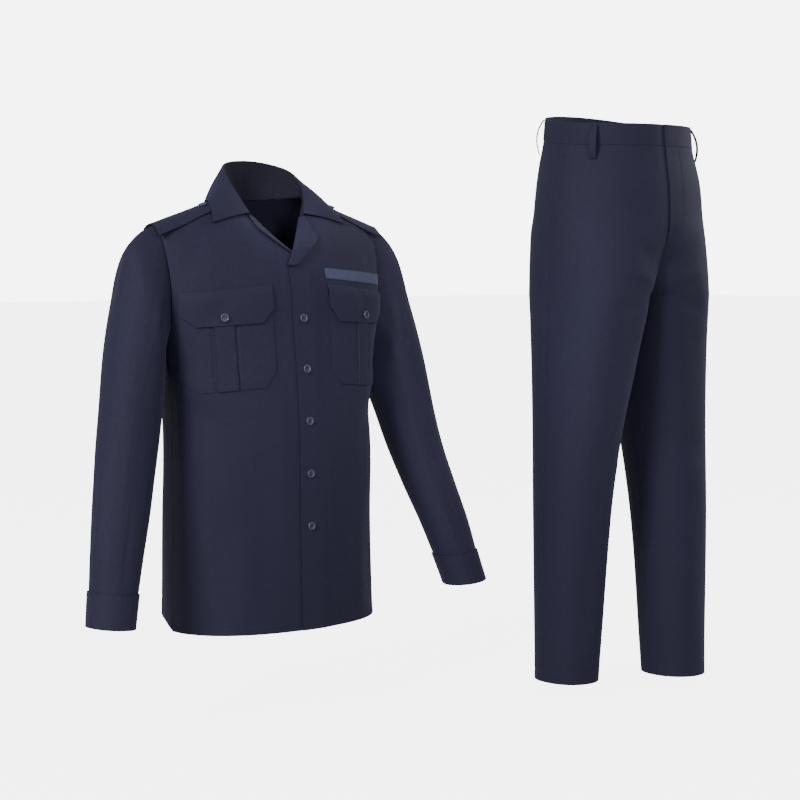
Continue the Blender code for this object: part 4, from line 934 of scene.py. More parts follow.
def waist_rise(z, f):
    """How much higher the waist stands towards the back."""
    share = (leg_middle(z) + leg_front(z) - f) / (leg_front(z) + leg_back(z))
    share = min(max(share, 0.0), 1.0) ** WAIST_RISE_POWER
    return WAIST_RISE_BACK * share * smooth_step((z - RISE_FADES_TO) / (WAIST_Z - RISE_FADES_TO))


def leg_point(z, angle, back, step):
    """A point of the left half of the trousers; angle 0 is the outer seam."""
    depth = -leg_back(z) if back else leg_front(z)
    c, s = bend(angle, leg_inside_square(z))
    f = leg_middle(z) + depth * s
    centre = leg_centre(z)
    l = centre + (leg_outer(z) - centre) * c
    return point(l, f + step * leg_stride(z), z + waist_rise(z, f))


def leg_normal(z, angle, back, step):
    """The unit normal at such a point, out of the cloth."""
    across = leg_point(z, angle + LEG_PROBE, back, step) - leg_point(z, angle - LEG_PROBE, back, step)
    up = leg_point(z + LEG_PROBE, angle, back, step) - leg_point(z - LEG_PROBE, angle, back, step)
    return unit(np.cross(across, up)) * (1.0 if back else -1.0)


def waist_point(z, turn):
    """A point of the waist; turn 0 is the middle of the front and pi / 2 the left side."""
    c, s = bend(math.pi / 2 - turn, leg_inside_square(z))
    f = leg_middle(z) + (leg_front(z) if s > 0 else leg_back(z)) * s
    return point(leg_outer(z) * c, f, z + waist_rise(z, f))


def waist_turn(column):
    """Turn of one of the waistband's evenly spaced columns."""
    near = FLY_UNDERLAP / leg_outer(WAIST_Z)
    return near + (2 * math.pi - 2 * near) * column / WAISTBAND_STEPS


# Looks: fine grids

def weights(places, count, around=False):
    """Rows of weights that read a smooth line through count values at fractional places."""
    table = np.zeros((len(places), count))
    for row, place in enumerate(places):
        k = int(math.floor(place)) if around else min(int(place), count - 2)
        t = place - k
        ends = (-t ** 3 + 2 * t * t - t, 3 * t ** 3 - 5 * t * t + 2,
                -3 * t ** 3 + 4 * t * t + t, t ** 3 - t * t)
        for step, weight in zip((-1, 0, 1, 2), ends):
            at = k + step
            if around:
                table[row, at % count] += weight / 2
            elif at < 0:
                table[row, 0] += weight
                table[row, 1] -= weight / 2
            elif at > count - 1:
                table[row, count - 1] += weight
                table[row, count - 2] -= weight / 2
            else:
                table[row, at] += weight / 2
    return table


def read_grid(grid, rows, columns, around=False):
    """A grid of points read at fractional rows and columns."""
    down = weights(rows, len(grid))
    across = weights(columns, len(grid[0]), around)
    return np.einsum("ri,cj,ijk->rck", down, across, np.asarray(grid))


def steps(first, last, per):
    """Even places from first to last, about per of them for each row or column."""
    return np.linspace(first, last, int(round((last - first) * per)) + 1)


class Fine:
    """A panel read smoothly at any fractional row and column, with its folds."""

    def __init__(self, panel, folds):
        self.panel = panel
        self.folds = folds

    def normals(self, rows, columns):
        """Unit normals at rows and columns."""
        return unit(read_grid(self.panel.normals, rows, columns))

    def lay(self, rows, columns, lift):
        """Points at rows and columns, moved out by lift, a number or a grid of them."""
        points = read_grid(self.panel.points, rows, columns)
        moved = lift + folded(points[..., 0], points[..., 2], self.folds)
        return points + self.normals(rows, columns) * moved[..., None]


def folded(across, up, folds):
    """How far the folds move the cloth at each place."""
    total = np.zeros(np.shape(across))
    for start, end, width, height in folds:
        start, end = np.array(start), np.array(end)
        along = end - start
        run = ((across - start[0]) * along[0] + (up - start[1]) * along[1]) / (along @ along)
        near = np.clip(run, 0.0, 1.0)
        away = np.hypot(across - start[0] - near * along[0], up - start[1] - near * along[1])
        fade = np.sin(near * math.pi) ** FOLD_FADE_POWER
        total += height * fade * np.exp(-(away / width) ** 2)
    return total


# Looks: meshes and stitches

def new_piece(name, verts, faces, material, node=None, mirrored=False, at=(0.0, 0.0)):
    """A finished mesh that rides on the part and stands for its node."""
    side = -1.0 if mirrored else 1.0
    verts = [(side * v[0] + at[0], v[1] + at[1], v[2]) for v in verts]
    faces = [face[::-1] for face in faces] if mirrored else faces
    mesh = bpy.data.meshes.new(name)
    mesh.from_pydata(verts, [], faces)
    mesh.materials.append(material)
    mesh.shade_smooth()
    mesh.set_sharp_from_angle(angle=math.radians(SMOOTH_ANGLE))
    thing = bpy.data.objects.new(name, mesh)
    bpy.context.scene.collection.objects.link(thing)
    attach(thing, "root")
    if node:
        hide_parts(node)
    return thing


def shell(node, outer, inner, material=None, cells=None, around=False, mirrored=False,
          at=(0.0, 0.0), edge=0.0):
    """The look of a node: a thin closed shell between two grids of points."""
    cells = cells or patch_cells(len(outer), len(outer[0]), around)
    used = sorted({corner for cell in cells for corner in cell})
    place = {corner: k for k, corner in enumerate(used)}
    count = len(used)
    verts = [outer[i][j] for i, j in used] + [inner[i][j] for i, j in used]
    faces = [[place[corner] for corner in cell] for cell in cells]
    faces += [[place[corner] + count for corner in reversed(cell)] for cell in cells]
    edges = {(cell[k - 1], cell[k]) for cell in cells for k in range(len(cell))}
    for start, end in sorted(edges):
        if (end, start) not in edges:
            a, b = place[start], place[end]
            faces.append([b, a, a + count, b + count])
    thing = new_piece("look_" + node, verts, faces, material or CLOTH_LOOK, node, mirrored, at)
    if edge:
        rounding = thing.modifiers.new("edge", "BEVEL")
        rounding.width = edge
        rounding.segments = 2
        rounding.limit_method = "ANGLE"
        rounding.angle_limit = math.radians(ROUND_ANGLE)
    return thing


def along_line(points, pitch, length):
    """Start and end of each stitch on a line of points."""
    points = np.asarray(points)
    runs = np.concatenate(((0.0,), np.cumsum(np.linalg.norm(np.diff(points, axis=0), axis=1))))
    count = max(int(runs[-1] / pitch), 1)
    starts = (np.arange(count) + 0.5) * runs[-1] / count - length / 2

    def read(run):
        return np.stack([np.interp(run, runs, points[:, k]) for k in range(3)], axis=-1)

    return read(starts), read(starts + length)


def stitch(start, end, normal, radius, base):
    """Points and faces of one small rounded dash of thread, numbered from base."""
    forward = unit(end - start)
    side = unit(np.cross(forward, normal))
    over = np.cross(side, forward)
    verts = [start - over * radius]
    for place in STITCH_SHOULDERS:
        for turn in range(STITCH_SIDES):
            angle = 2 * math.pi * turn / STITCH_SIDES
            verts.append(start + (end - start) * place
                         + radius * (side * math.cos(angle) + over * math.sin(angle)))
    verts.append(end - over * radius)
    near, far = base + 1, base + 1 + STITCH_SIDES
    faces = []
    for turn in range(STITCH_SIDES):
        after = (turn + 1) % STITCH_SIDES
        faces.append([near + turn, near + after, base])
        faces.append([far + turn, far + after, near + after, near + turn])
        faces.append([far + STITCH_SIDES, far + after, far + turn])
    return verts, faces


def stitches(name, lines, mirrored=False, at=(0.0, 0.0), radius=STITCH_RADIUS,
             length=STITCH_LENGTH, pitch=STITCH_PITCH):
    """Rows of stitches in one piece; a line is (points, normals)."""
    verts, faces = [], []
    for points, normals in lines:
        normals = np.asarray(normals)
        lifted = np.asarray(points) + normals * radius * STITCH_SINK
        begins, ends = along_line(lifted, pitch, length)
        runs = np.linspace(0, 1, len(normals))
        for k, (start, end) in enumerate(zip(begins, ends)):
            share = (k + 0.5) / len(begins)
            normal = np.array([np.interp(share, runs, normals[:, i]) for i in range(3)])
            more_verts, more_faces = stitch(start, end, normal, radius, len(verts))
            verts += more_verts
            faces += more_faces
    return new_piece(name, verts, faces, THREAD_LOOK, None, mirrored, at)


# Looks: materials

def set_inputs(node, values):
    """Sets constants on a node's own sockets."""
    for name, value in values.items():
        node.inputs[name].default_value = value


def new_material(name, roughness):
    """A material, the tree of its nodes and its shader."""
    material = bpy.data.materials.new(name)
    material.use_nodes = True
    shader = material.node_tree.nodes["Principled BSDF"]
    set_inputs(shader, {"Roughness": roughness})
    return material, material.node_tree, shader


def texture(tree, kind, place, values):
    """A texture read at the object's own coordinates."""
    node = tree.nodes.new("ShaderNodeTex" + kind)
    set_inputs(node, values)
    tree.links.new(place.outputs["Object"], node.inputs["Vector"])
    return node


def colour_by(tree, shader, clouds, stops, dark, light):
    """Colours a shader between two shades by the value of a texture."""
    ramp = tree.nodes.new("ShaderNodeValToRGB")
    for k, colour in enumerate((dark, light)):
        ramp.color_ramp.elements[k].position = stops[k]
        ramp.color_ramp.elements[k].color = (*colour, 1.0)
    tree.links.new(clouds.outputs["Fac"], ramp.inputs["Fac"])
    tree.links.new(ramp.outputs["Color"], shader.inputs["Base Color"])


def woven(name, light, dark, weave, roughness, sheen):
    """Smooth twill: a fine diagonal bump, a little mottling and a soft sheen."""
    material, tree, shader = new_material(name, roughness)
    set_inputs(shader, {"Sheen Weight": sheen, **CLOTH_SHEEN})
    place = tree.nodes.new("ShaderNodeTexCoord")
    mottle = texture(tree, "Noise", place, CLOTH_MOTTLE)
    colour_by(tree, shader, mottle, CLOTH_STOPS, dark, light)
    twill = texture(tree, "Wave", place, {"Scale": weave, "Distortion": 1.5, "Detail": 1.0})
    twill.wave_type = "BANDS"
    twill.bands_direction = "DIAGONAL"
    slub = texture(tree, "Noise", place, CLOTH_SLUB)
    both = tree.nodes.new("ShaderNodeMath")
    both.operation = "ADD"
    tree.links.new(twill.outputs["Fac"], both.inputs[0])
    tree.links.new(slub.outputs["Fac"], both.inputs[1])
    bump = tree.nodes.new("ShaderNodeBump")
    set_inputs(bump, CLOTH_BUMP)
    tree.links.new(both.outputs["Value"], bump.inputs["Height"])
    tree.links.new(bump.outputs["Normal"], shader.inputs["Normal"])
    return material


def moulded(name, colour, roughness, mottle_by):
    """Moulded plastic with faint clouds in it."""
    material, tree, shader = new_material(name, roughness)
    set_inputs(shader, {"Coat Weight": PLASTIC_COAT})
    place = tree.nodes.new("ShaderNodeTexCoord")
    clouds = texture(tree, "Noise", place, PLASTIC_CLOUD)
    dark, light = (tuple(c * (1 + way * mottle_by) for c in colour) for way in (-1, 1))
    colour_by(tree, shader, clouds, PLASTIC_STOPS, dark, light)
    return material


CLOTH_LOOK = woven("navy_cloth", CLOTH_LIGHT, CLOTH_DARK, 900.0, 0.72, 0.10)
TAPE_LOOK = woven("slate_tape", TAPE_LIGHT, TAPE_DARK, 700.0, 0.72, 0.20)
# A darker copy of the cloth: the reverse's own tone, with painted shade added
SHADED_REVERSE_LOOK = woven("cloth_reverse_painted_shade", SHADED_REVERSE_LIGHT, SHADED_REVERSE_DARK, 900.0, 0.8, 0.05)
THREAD_LOOK = woven("thread", THREAD_LIGHT, THREAD, 2600.0, 0.6, 0.2)
BUTTON_LOOK = moulded("button", BUTTON_COLOUR, 0.38, 0.12)
# Near-black: painted shade for the button holes
HOLE_SHADE_LOOK = moulded("button_hole_shade", BUTTON_HOLE_SHADE, 0.55, 0.10)
# A darker copy of the button's colour: painted shade in the dish
DISH_SHADE_LOOK = moulded("button_dish_shade", BUTTON_DISH_SHADE, 0.45, 0.10)


# Looks: buttons

def turned(centre, frame, profile, radius, height, count):
    """Points and faces of rings round an axis, one for each entry of a profile; the top is open."""
    across, upward, normal = frame
    verts, faces = [], []
    for size, rise in profile:
        for k in range(count):
            turn = 2 * math.pi * k / count
            spoke = across * math.cos(turn) + upward * math.sin(turn)
            verts.append(centre + spoke * radius * size + normal * height * rise)
    for start in range(0, count * (len(profile) - 1), count):
        for k in range(count):
            a, b = start + k, start + (k + 1) % count
            faces.append([a, b, b + count, a + count])
    faces.append(list(range(count))[::-1])
    return verts, faces


def dressed_button(node, centre, normal, mirrored=False):
    """A four-hole button with a rolled rim, its dish darkened as painted shade, dark discs as painted
    shade for its holes, and its crossed thread.
    """
    side = -1.0 if mirrored else 1.0
    normal = unit(np.asarray(normal) * (side, 1, 1))
    centre = np.asarray(centre) * (side, 1, 1)
    across = unit(np.cross((0.0, 0.0, 1.0) if abs(normal[2]) < 0.9 else (0.0, 1.0, 0.0), normal))
    frame = (across, np.cross(normal, across), normal)
    verts, faces = turned(centre, frame, BUTTON_PROFILE[:-1], BUTTON_RADIUS, BUTTON_THICKNESS,
                          BUTTON_ROUND)
    first, middle = len(verts) - BUTTON_ROUND, len(verts)
    verts.append(centre + normal * BUTTON_THICKNESS * BUTTON_PROFILE[-1][1])
    faces += [[first + k, first + (k + 1) % BUTTON_ROUND, middle] for k in range(BUTTON_ROUND)]
    thing = new_piece("look_" + node, verts, faces, BUTTON_LOOK, node)
    # Faces inside the dish take the darker copy of the button's colour: painted shade in the recess
    thing.data.materials.append(DISH_SHADE_LOOK)
    for face in thing.data.polygons:
        spoke = np.array(face.center) - centre
        height = spoke @ normal
        in_dish_shade = np.linalg.norm(spoke - normal * height) < BUTTON_RADIUS * DISH_SHADE_SHARE
        face.material_index = int(height > 0 and in_dish_shade)
    dress_holes(node, centre + normal * BUTTON_THICKNESS * DISH_FLOOR, frame)


def dress_holes(node, floor, frame):
    """Four dark discs on the floor of a button's dish, painted shade standing for its holes, and the
    thread through them.
    """
    across, upward, normal = frame
    holes = [floor + (across * a + upward * b) * HOLE_SPREAD
             for a, b in ((-1, -1), (1, -1), (1, 1), (-1, 1))]
    verts, faces = [], []
    for hole in holes:
        base = len(verts)
        rim, sides = turned(hole, frame, HOLE_PROFILE, HOLE_RADIUS, HOLE_HEIGHT, HOLE_ROUND)
        sides.append(list(range(HOLE_ROUND, 2 * HOLE_ROUND)))
        verts += rim
        faces += [[base + k for k in face] for face in sides]
    # The discs are near-black, painted shade where the holes are
    new_piece("holes_" + node, verts, faces, HOLE_SHADE_LOOK)
    lines = []
    for one, other in ((0, 1), (2, 3)):
        for shift in (-BUTTON_THREAD_SHIFT, BUTTON_THREAD_SHIFT):
            moved = upward * shift + normal * BUTTON_THREAD_LIFT
            start, end = holes[one] + moved, holes[other] + moved
            bow = (start + end) / 2 + normal * BUTTON_THREAD_BOW
            lines.append(([start, bow, end], [normal] * 3))
    stitches("thread_" + node, lines, **BUTTON_THREAD)


# Looks: shirt

def front_look(side, panel, mirrored):
    """A shirt front, with the stitching of its edge, hem, yoke and armhole."""
    fine = Fine(panel, FRONT_FOLDS)
    last = len(panel.points[0]) - 1
    rows = steps(0, len(panel.points) - 1, FRONT_FINE)
    columns = steps(0, last, FRONT_FINE)
    outer = fine.lay(rows, columns, front_relief(rows, columns))
    inner = fine.lay(rows, columns, -SHELL)
    thing = shell("front_" + side, outer, inner, mirrored=mirrored)
    lines = [fine_line(fine, steps(0, LAPEL_FOOT_ROW, UPRIGHT_FINE), [FRONT_EDGE_COLUMN]),
             fine_line(fine, [FRONT_HEM_STITCH], steps(FRONT_HEM_FROM, last, LEVEL_FINE))]
    start, short = FRONT_YOKE_ENDS
    for row in FRONT_YOKE_ROWS:
        lines.append(fine_line(fine, [row], steps(start, last - short, LEVEL_FINE)))
    if not mirrored:
        placket = steps(PLACKET_STITCH_FROM, LAPEL_FOOT_ROW, UPRIGHT_FINE)
        lines.append(fine_line(fine, placket, [PLACKET_COLUMN]))
    rows = steps(*FRONT_ARMHOLE_ROWS, UPRIGHT_FINE)
    lines.append(fine_line(fine, rows, [last - FRONT_ARMHOLE_INSET]))
    stitches("stitches_front_" + side, lines, mirrored)
    return fine


def front_relief(rows, columns):
    """Small relief of a front: sunk seams, a turned hem and a doubled front edge."""
    lift = np.full((len(rows), len(columns)), SKIN)
    lift[-1] -= SEAM_DIP
    lift[:, -1] -= SEAM_DIP
    lift += HEM_RISE * (rows < HEM_ROW)[:, None]
    lift += PLACKET_RISE * ((columns < PLACKET_COLUMN)[None, :] & (rows < PLACKET_TOP_ROW)[:, None])
    return lift


def fine_line(fine, rows, columns):
    """A line of stitches over a panel: one of rows and columns holds a single place."""
    points = fine.lay(rows, columns, SKIN + STITCH_LIFT).reshape(-1, 3)
    return points, fine.normals(rows, columns).reshape(-1, 3)


def back_look(panel):
    """The shirt's back, with its yoke and hem stitching."""
    fine = Fine(panel, BACK_FOLDS)
    last = len(panel.points[0]) - 1
    rows = steps(0, len(panel.points) - 1, BACK_FINE)
    columns = steps(0, last, BACK_FINE)
    lift = np.full((len(rows), len(columns)), SKIN)
    lift[-1] -= SEAM_DIP
    lift[:, (0, -1)] -= SEAM_DIP
    lift += HEM_RISE * (rows < HEM_ROW)[:, None]
    outer = fine.lay(rows, columns, lift)
    thing = shell("back", outer, fine.lay(rows, columns, -SHELL))
    across = steps(BACK_YOKE_INSET, last - BACK_YOKE_INSET, BACK_FINE)
    lines = [fine_line(fine, [row], across) for row in BACK_YOKE_ROWS]
    lines.append(fine_line(fine, [BACK_HEM_STITCH], steps(0, last, LEVEL_FINE)))
    stitches("stitches_back", lines)


def sleeve_look(side, points, normals, mirrored):
    """A sleeve with its folds, and pleats where it enters the cuff."""
    rows = steps(0, len(points) - 1, SLEEVE_FINE[0])
    columns = steps(0, len(points[0]), SLEEVE_FINE[1])[:-1]
    grid = read_grid(points, rows, columns, around=True)
    facing = unit(read_grid(normals, rows, columns, around=True))
    turn = np.broadcast_to(columns / len(points[0]), (len(rows), len(columns)))
    run = np.broadcast_to(rows[:, None], turn.shape)
    folds = scaled_folds()
    moved = sum(folded(turn + shift, run * SLEEVE_RUN_SCALE, folds) for shift in (-1.0, 0.0, 1.0))
    to_end = (len(points) - 1 - run) / SLEEVE_EASE_FOOT
    ease = np.clip(run / SLEEVE_EASE_TOP, 0, 1) * np.clip(to_end, SLEEVE_EASE_LEAST, 1)
    ease[0] = 0.0
    moved = moved * ease
    seams = np.zeros(turn.shape)
    seams[(0, -1), :] = SEAM_DIP
    outer = grid + facing * (SKIN + moved - seams)[..., None]
    inner = grid + facing * (moved - SHELL)[..., None]
    thing = shell("sleeve_" + side, outer, inner, around=True, mirrored=mirrored)
    line = (closed(outer[ARMHOLE_STITCH]), closed(facing[ARMHOLE_STITCH]))
    stitches("stitches_armhole_" + side, [line], mirrored)


def scaled_folds():
    """The sleeve's folds, with the run along it brought to the scale of the turn round it."""
    scale = np.array((1.0, SLEEVE_RUN_SCALE))
    return [(start * scale, end * scale, width, height) for start, end, width, height in SLEEVE_FOLDS]


def cuff_look(side, points, normals, mirrored):
    """A cuff, doubled and stitched at both edges, lapped where it buttons."""
    rows = steps(0, len(points) - 1, CUFF_FINE)
    columns = steps(0, len(points[0]), CUFF_FINE)[:-1]
    grid = read_grid(points, rows, columns, around=True)
    facing = unit(read_grid(normals, rows, columns, around=True))
    before, after = CUFF_LAP
    lap = (columns > CUFF_BUTTON_COLUMN - before) & (columns < CUFF_BUTTON_COLUMN + after)
    outer = grid + facing * (SKIN + CUFF_LAP_RISE * lap)[None, :, None]
    inner = grid - facing * CUFF_SHELL
    thing = shell("cuff_" + side, outer, inner, around=True, mirrored=mirrored, edge=STRAP_ROUND)
    rings = [int(row * CUFF_FINE) for row in CUFF_STITCH_ROWS]
    lines = [(closed(outer[k]), closed(facing[k])) for k in rings]
    edge = int((CUFF_BUTTON_COLUMN - CUFF_LAP_STITCH) * CUFF_FINE)
    lines.append((outer[:, edge], facing[:, edge]))
    stitches("stitches_cuff_" + side, lines, mirrored)
    spot, normal = Panel(points, normals).spot(CUFF_BUTTON_ROW, CUFF_BUTTON_COLUMN)
    spot = spot + normal * (BUTTON_CLEAR + CUFF_BUTTON_LIFT)
    dressed_button("button_cuff_" + side, spot, normal, mirrored)


def cut_corners(rows, columns):
    """The columns on each row of a patch, drawn in at its two lower corners."""
    grid_rows, grid_columns = np.meshgrid(rows, columns, indexing="ij")
    shift = np.clip(1 - (grid_rows - rows[0]) / CORNER_CUT, 0, 1) * CORNER_CUT
    share = (grid_columns - columns[0]) / (columns[-1] - columns[0])
    return grid_columns + shift * (1 - 2 * share)


def patch_on(fine, node, rows, grid, base, thick, mirrored, look=None):
    """A piece laid on a front: grid holds the columns on each row, base and thick its heights."""
    outer, inner, facing = [], [], []
    base = np.broadcast_to(base, grid.shape)
    for row, line, below, above in zip(rows, grid, base, base + thick):
        inner.append(fine.lay([row], line, below)[0])
        outer.append(fine.lay([row], line, above)[0])
        facing.append(fine.normals([row], line)[0])
    outer, inner, facing = np.array(outer), np.array(inner), np.array(facing)
    thing = shell(node, outer, inner, look, mirrored=mirrored, edge=PATCH_ROUND)
    return outer, facing


def inset_lines(outer, facing, insets, sides=("low", "left", "right")):
    """Stitch lines a little inside a piece's own edges."""
    inner = slice(2, -2)
    edges = {"low": (outer[0, inner], outer[-1, inner], facing[0, inner]),
             "high": (outer[-1, inner], outer[0, inner], facing[-1, inner]),
             "left": (outer[:, 0], outer[:, -1], facing[:, 0]),
             "right": (outer[:, -1], outer[:, 0], facing[:, -1])}
    lines = []
    for inset in insets:
        for edge, opposite, normals in (edges[side] for side in sides):
            way = opposite - edge
            share = np.minimum(inset / np.linalg.norm(way, axis=-1, keepdims=True), 1.0)
            lines.append((edge + way * share, normals))
    return lines


def pocket_look(side, fine, mirrored):
    """A patch pocket with its box pleat, double stitched."""
    rows = steps(POCKET_BOTTOM_ROW, FLAP_TOP_ROW - 1, POCKET_FINE[0])
    columns = steps(POCKET_FIRST_COLUMN, POCKET_LAST_COLUMN, POCKET_FINE[1])
    grid = cut_corners(rows, columns)
    middle = (PLEAT_FIRST_COLUMN + PLEAT_LAST_COLUMN) / 2
    away = np.abs(grid - middle) - (PLEAT_LAST_COLUMN - PLEAT_FIRST_COLUMN) / 2
    groove = (away >= 0) & (away < PLEAT_GROOVE_WIDTH)
    thick = POCKET_THICK + PLEAT_HEIGHT * (away < 0) - PLEAT_GROOVE_DEPTH * groove
    outer, facing = patch_on(fine, "pocket_" + side, rows, grid, POCKET_BASE, thick, mirrored)
    stitches("stitches_pocket_" + side, inset_lines(outer, facing, BOTH_ROWS), mirrored)


def flap_look(side, fine, mirrored):
    """A flap, standing a little off its pocket, with its button."""
    rows = steps(FLAP_BOTTOM_ROW, FLAP_TOP_ROW, PATCH_FINE[0])
    columns = steps(POCKET_FIRST_COLUMN, POCKET_LAST_COLUMN, PATCH_FINE[1])
    hinge = np.minimum((FLAP_TOP_ROW - rows) / FLAP_HINGE_ROWS, 1.0)
    base = FLAP_BASE + FLAP_STAND * np.sin(hinge * math.pi / 2)
    outer, facing = patch_on(fine, "pocket_flap_" + side, rows, cut_corners(rows, columns),
                             base[:, None], FLAP_THICK, mirrored)
    lines = inset_lines(outer, facing, BOTH_ROWS, ALL_SIDES)
    stitches("stitches_flap_" + side, lines, mirrored)
    spot, normal = fine.panel.spot(FLAP_BUTTON_ROW, FLAP_BUTTON_COLUMN)
    spot = spot + normal * (FLAP_BUTTON_LIFT + BUTTON_CLEAR)
    dressed_button("button_flap_" + side, spot, normal, mirrored)


def tape_look(fine):
    """The plain name tape over the left pocket, stitched all round."""
    rows = steps(TAPE_BOTTOM_ROW, TAPE_TOP_ROW, PATCH_FINE[0])
    columns = steps(POCKET_FIRST_COLUMN, POCKET_LAST_COLUMN, PATCH_FINE[1])
    grid = np.broadcast_to(columns, (len(rows), len(columns)))
    outer, facing = patch_on(fine, "name_tape", rows, grid, TAPE_BASE, TAPE_HEIGHT, False,
                             TAPE_LOOK)
    stitches("stitches_tape", inset_lines(outer, facing, (EDGE_STITCH,), ALL_SIDES))


def buttonhole(centre, along, normal):
    """Lines of close stitches round a buttonhole."""
    across = np.cross(normal, along)
    half = BUTTONHOLE_LENGTH / 2
    lines = []
    for side in (-BUTTONHOLE_HALF_WIDTH, BUTTONHOLE_HALF_WIDTH):
        middle = centre + across * side
        lines.append(([middle - along * half, middle + along * half], [normal, normal]))
    for end in (-half, half):
        middle, reach = centre + along * end, across * BUTTONHOLE_END
        lines.append(([middle - reach, middle + reach], [normal, normal]))
    return lines


def front_buttons_look(fine):
    """The row of front buttons on the lapped front, with upright buttonholes."""
    panel = fine.panel
    holes = []
    for k, (z, column, lift) in enumerate(zip(BUTTON_Z, BUTTON_COLUMN, BUTTON_LIFT)):
        row = int(np.searchsorted(panel.points[:, 2, 2], z)) - 1
        low, high = panel.points[row, 2, 2], panel.points[row + 1, 2, 2]
        place = row + (z - low) / (high - low)
        spot, normal = panel.spot(place, column)
        dressed_button(f"button_front_{k + 1}", spot + normal * (lift + FRONT_BUTTON_LIFT), normal)
        upright = unit(panel.at(place + 0.1, column) - spot)
        holes += buttonhole(spot + normal * (SKIN + BUTTONHOLE_LIFT), upright, normal)
    stitches("buttonholes_front", holes, **BUTTONHOLE_STITCH)


def lapel_look(side, fine, rows, columns, mirrored):
    """A lapel: the front's own cloth turned over its roll line."""
    middle, ends = lapel_lines(fine.panel, rows, columns)
    facing = grid_normals(middle)
    facing[:, -1] = np.array(ends)
    places = steps(0, len(middle) - 1, LAPEL_FINE)
    across = steps(0, len(middle[0]) - 1, LAPEL_FINE)
    grid = read_grid(middle, places, across)
    normals = unit(read_grid(facing, places, across))
    outer = grid - normals * (CLOTH / 2 + SKIN)
    cells = [cell[1::-1] + cell[:1:-1] for cell in patch_cells(len(grid), len(grid[0]))]
    thing = shell("lapel_" + side, outer, grid + normals * CLOTH / 2, cells=cells,
                  mirrored=mirrored, edge=PATCH_ROUND)
    line = (outer[2:-2, LAPEL_STITCH], -normals[2:-2, LAPEL_STITCH])
    stitches("stitches_lapel_" + side, [line], mirrored)


def lapel_lines(panel, rows, columns):
    """Lines of a lapel from its free edge back to the front's cut edge."""
    middle, ends = [], []
    for k, (row, width) in enumerate(zip(rows, columns)):
        share = k / (len(rows) - 1)
        radius = LAPEL_RADIUS_LOW + (LAPEL_RADIUS_HIGH - LAPEL_RADIUS_LOW) * share
        edge, normal = panel.spot(row, 0.0)
        away = square_to(edge - panel.at(row, 1.0), panel.at(row + 0.2, 0.0) - edge)
        start = edge + away * SEAM - normal * CLOTH / 2
        ends.append(normal)
        line = []
        for turn in LAPEL_TURNS:
            c, s = math.cos(math.radians(turn)), math.sin(math.radians(turn))
            line.append(start + radius * (away * c + normal * (1 + s)))
        for step in LAPEL_SHARES:
            line.append(panel.at(row, width * step, 2 * radius - CLOTH / 2))
        middle.append(line[::-1])
    return np.array(middle), ends


def collar_grid(front, back):
    """The collar's sections, from the neck seam over the fold to the leaf's edge."""
    edge, away, normals = neck_edge(front, back)
    fold = curve(COLLAR_AT, list(zip(COLLAR_FOLD_L, COLLAR_FOLD_F, COLLAR_FOLD_Z)))
    leaf_l = curve(COLLAR_AT, COLLAR_LEAF_L)
    leaf_f = curve(COLLAR_AT, COLLAR_LEAF_F)
    side = COLLAR_AT[2]
    count = len(COLLAR_FRONT_ROWS) - 1
    stations = [side * k / count for k in range(count + 1)]
    stations += [side + (1 - side) * step / NECK_STEP for step in COLLAR_BACK_STEPS]
    lines = []
    for at, here, way, normal in zip(stations, edge, away, normals):
        start = seam_start(here, way, normal)
        l, f = leaf_l(at), leaf_f(at)
        leaf = point(l, f, shirt_z(l, f) + COLLAR_LEAF_LIFT)
        after, before = min(at + COLLAR_PROBE, 1.0), max(at - COLLAR_PROBE, 0.0)
        along = unit(point(*fold(after)) - point(*fold(before)))
        lines.append(collar_line(start, point(*fold(at)), leaf, along))
        lines[-1][-3:] = resting(lines[-1][-3:], (front, back))
    flip = np.array((-1.0, 1.0, 1.0))
    lines += [[flip * p for p in line] for line in lines[-2::-1]]
    return np.transpose(np.array(lines), (1, 0, 2))


def collar_look(front, back):
    """The collar: doubled cloth over its fold, with a darker copy of the cloth inside the stand:
    partly the cloth's duller reverse, partly painted shade.
    """
    grid = collar_grid(front, back)
    rows = steps(0, len(grid) - 1, COLLAR_FINE[0])
    columns = steps(0, len(grid[0]) - 1, COLLAR_FINE[1])
    points = read_grid(grid, rows, columns)
    normals = unit(read_grid(grid_normals(grid), rows, columns))
    over = points - normals * (FIRM + SKIN)
    thing = shell("collar", points - normals * COLLAR_UNDER_LIFT, over, edge=STRAP_ROUND)
    # The stand's inner faces take the darker copy of the cloth: partly the reverse's tone, partly
    # painted shade inside the collar
    thing.data.materials.append(SHADED_REVERSE_LOOK)
    cells = patch_cells(len(rows), len(columns))
    for k, cell in enumerate(cells):
        if rows[cell[0][0]] < COLLAR_STAND_END:
            thing.data.polygons[len(cells) + k].material_index = 1
    leaf = slice((len(over) - 1) // 2, None)
    outline = inset_lines(over[leaf], -normals[leaf], (COLLAR_EDGE_STITCH,),
                          ("high", "left", "right"))
    stand = (over[COLLAR_STAND_STITCH], -normals[COLLAR_STAND_STITCH])
    stitches("stitches_collar", outline + [stand])


def shoulder_point(l, f):
    """A place on the shirt's shoulder, seen from above."""
    return point(l, f, shirt_z(l, f))


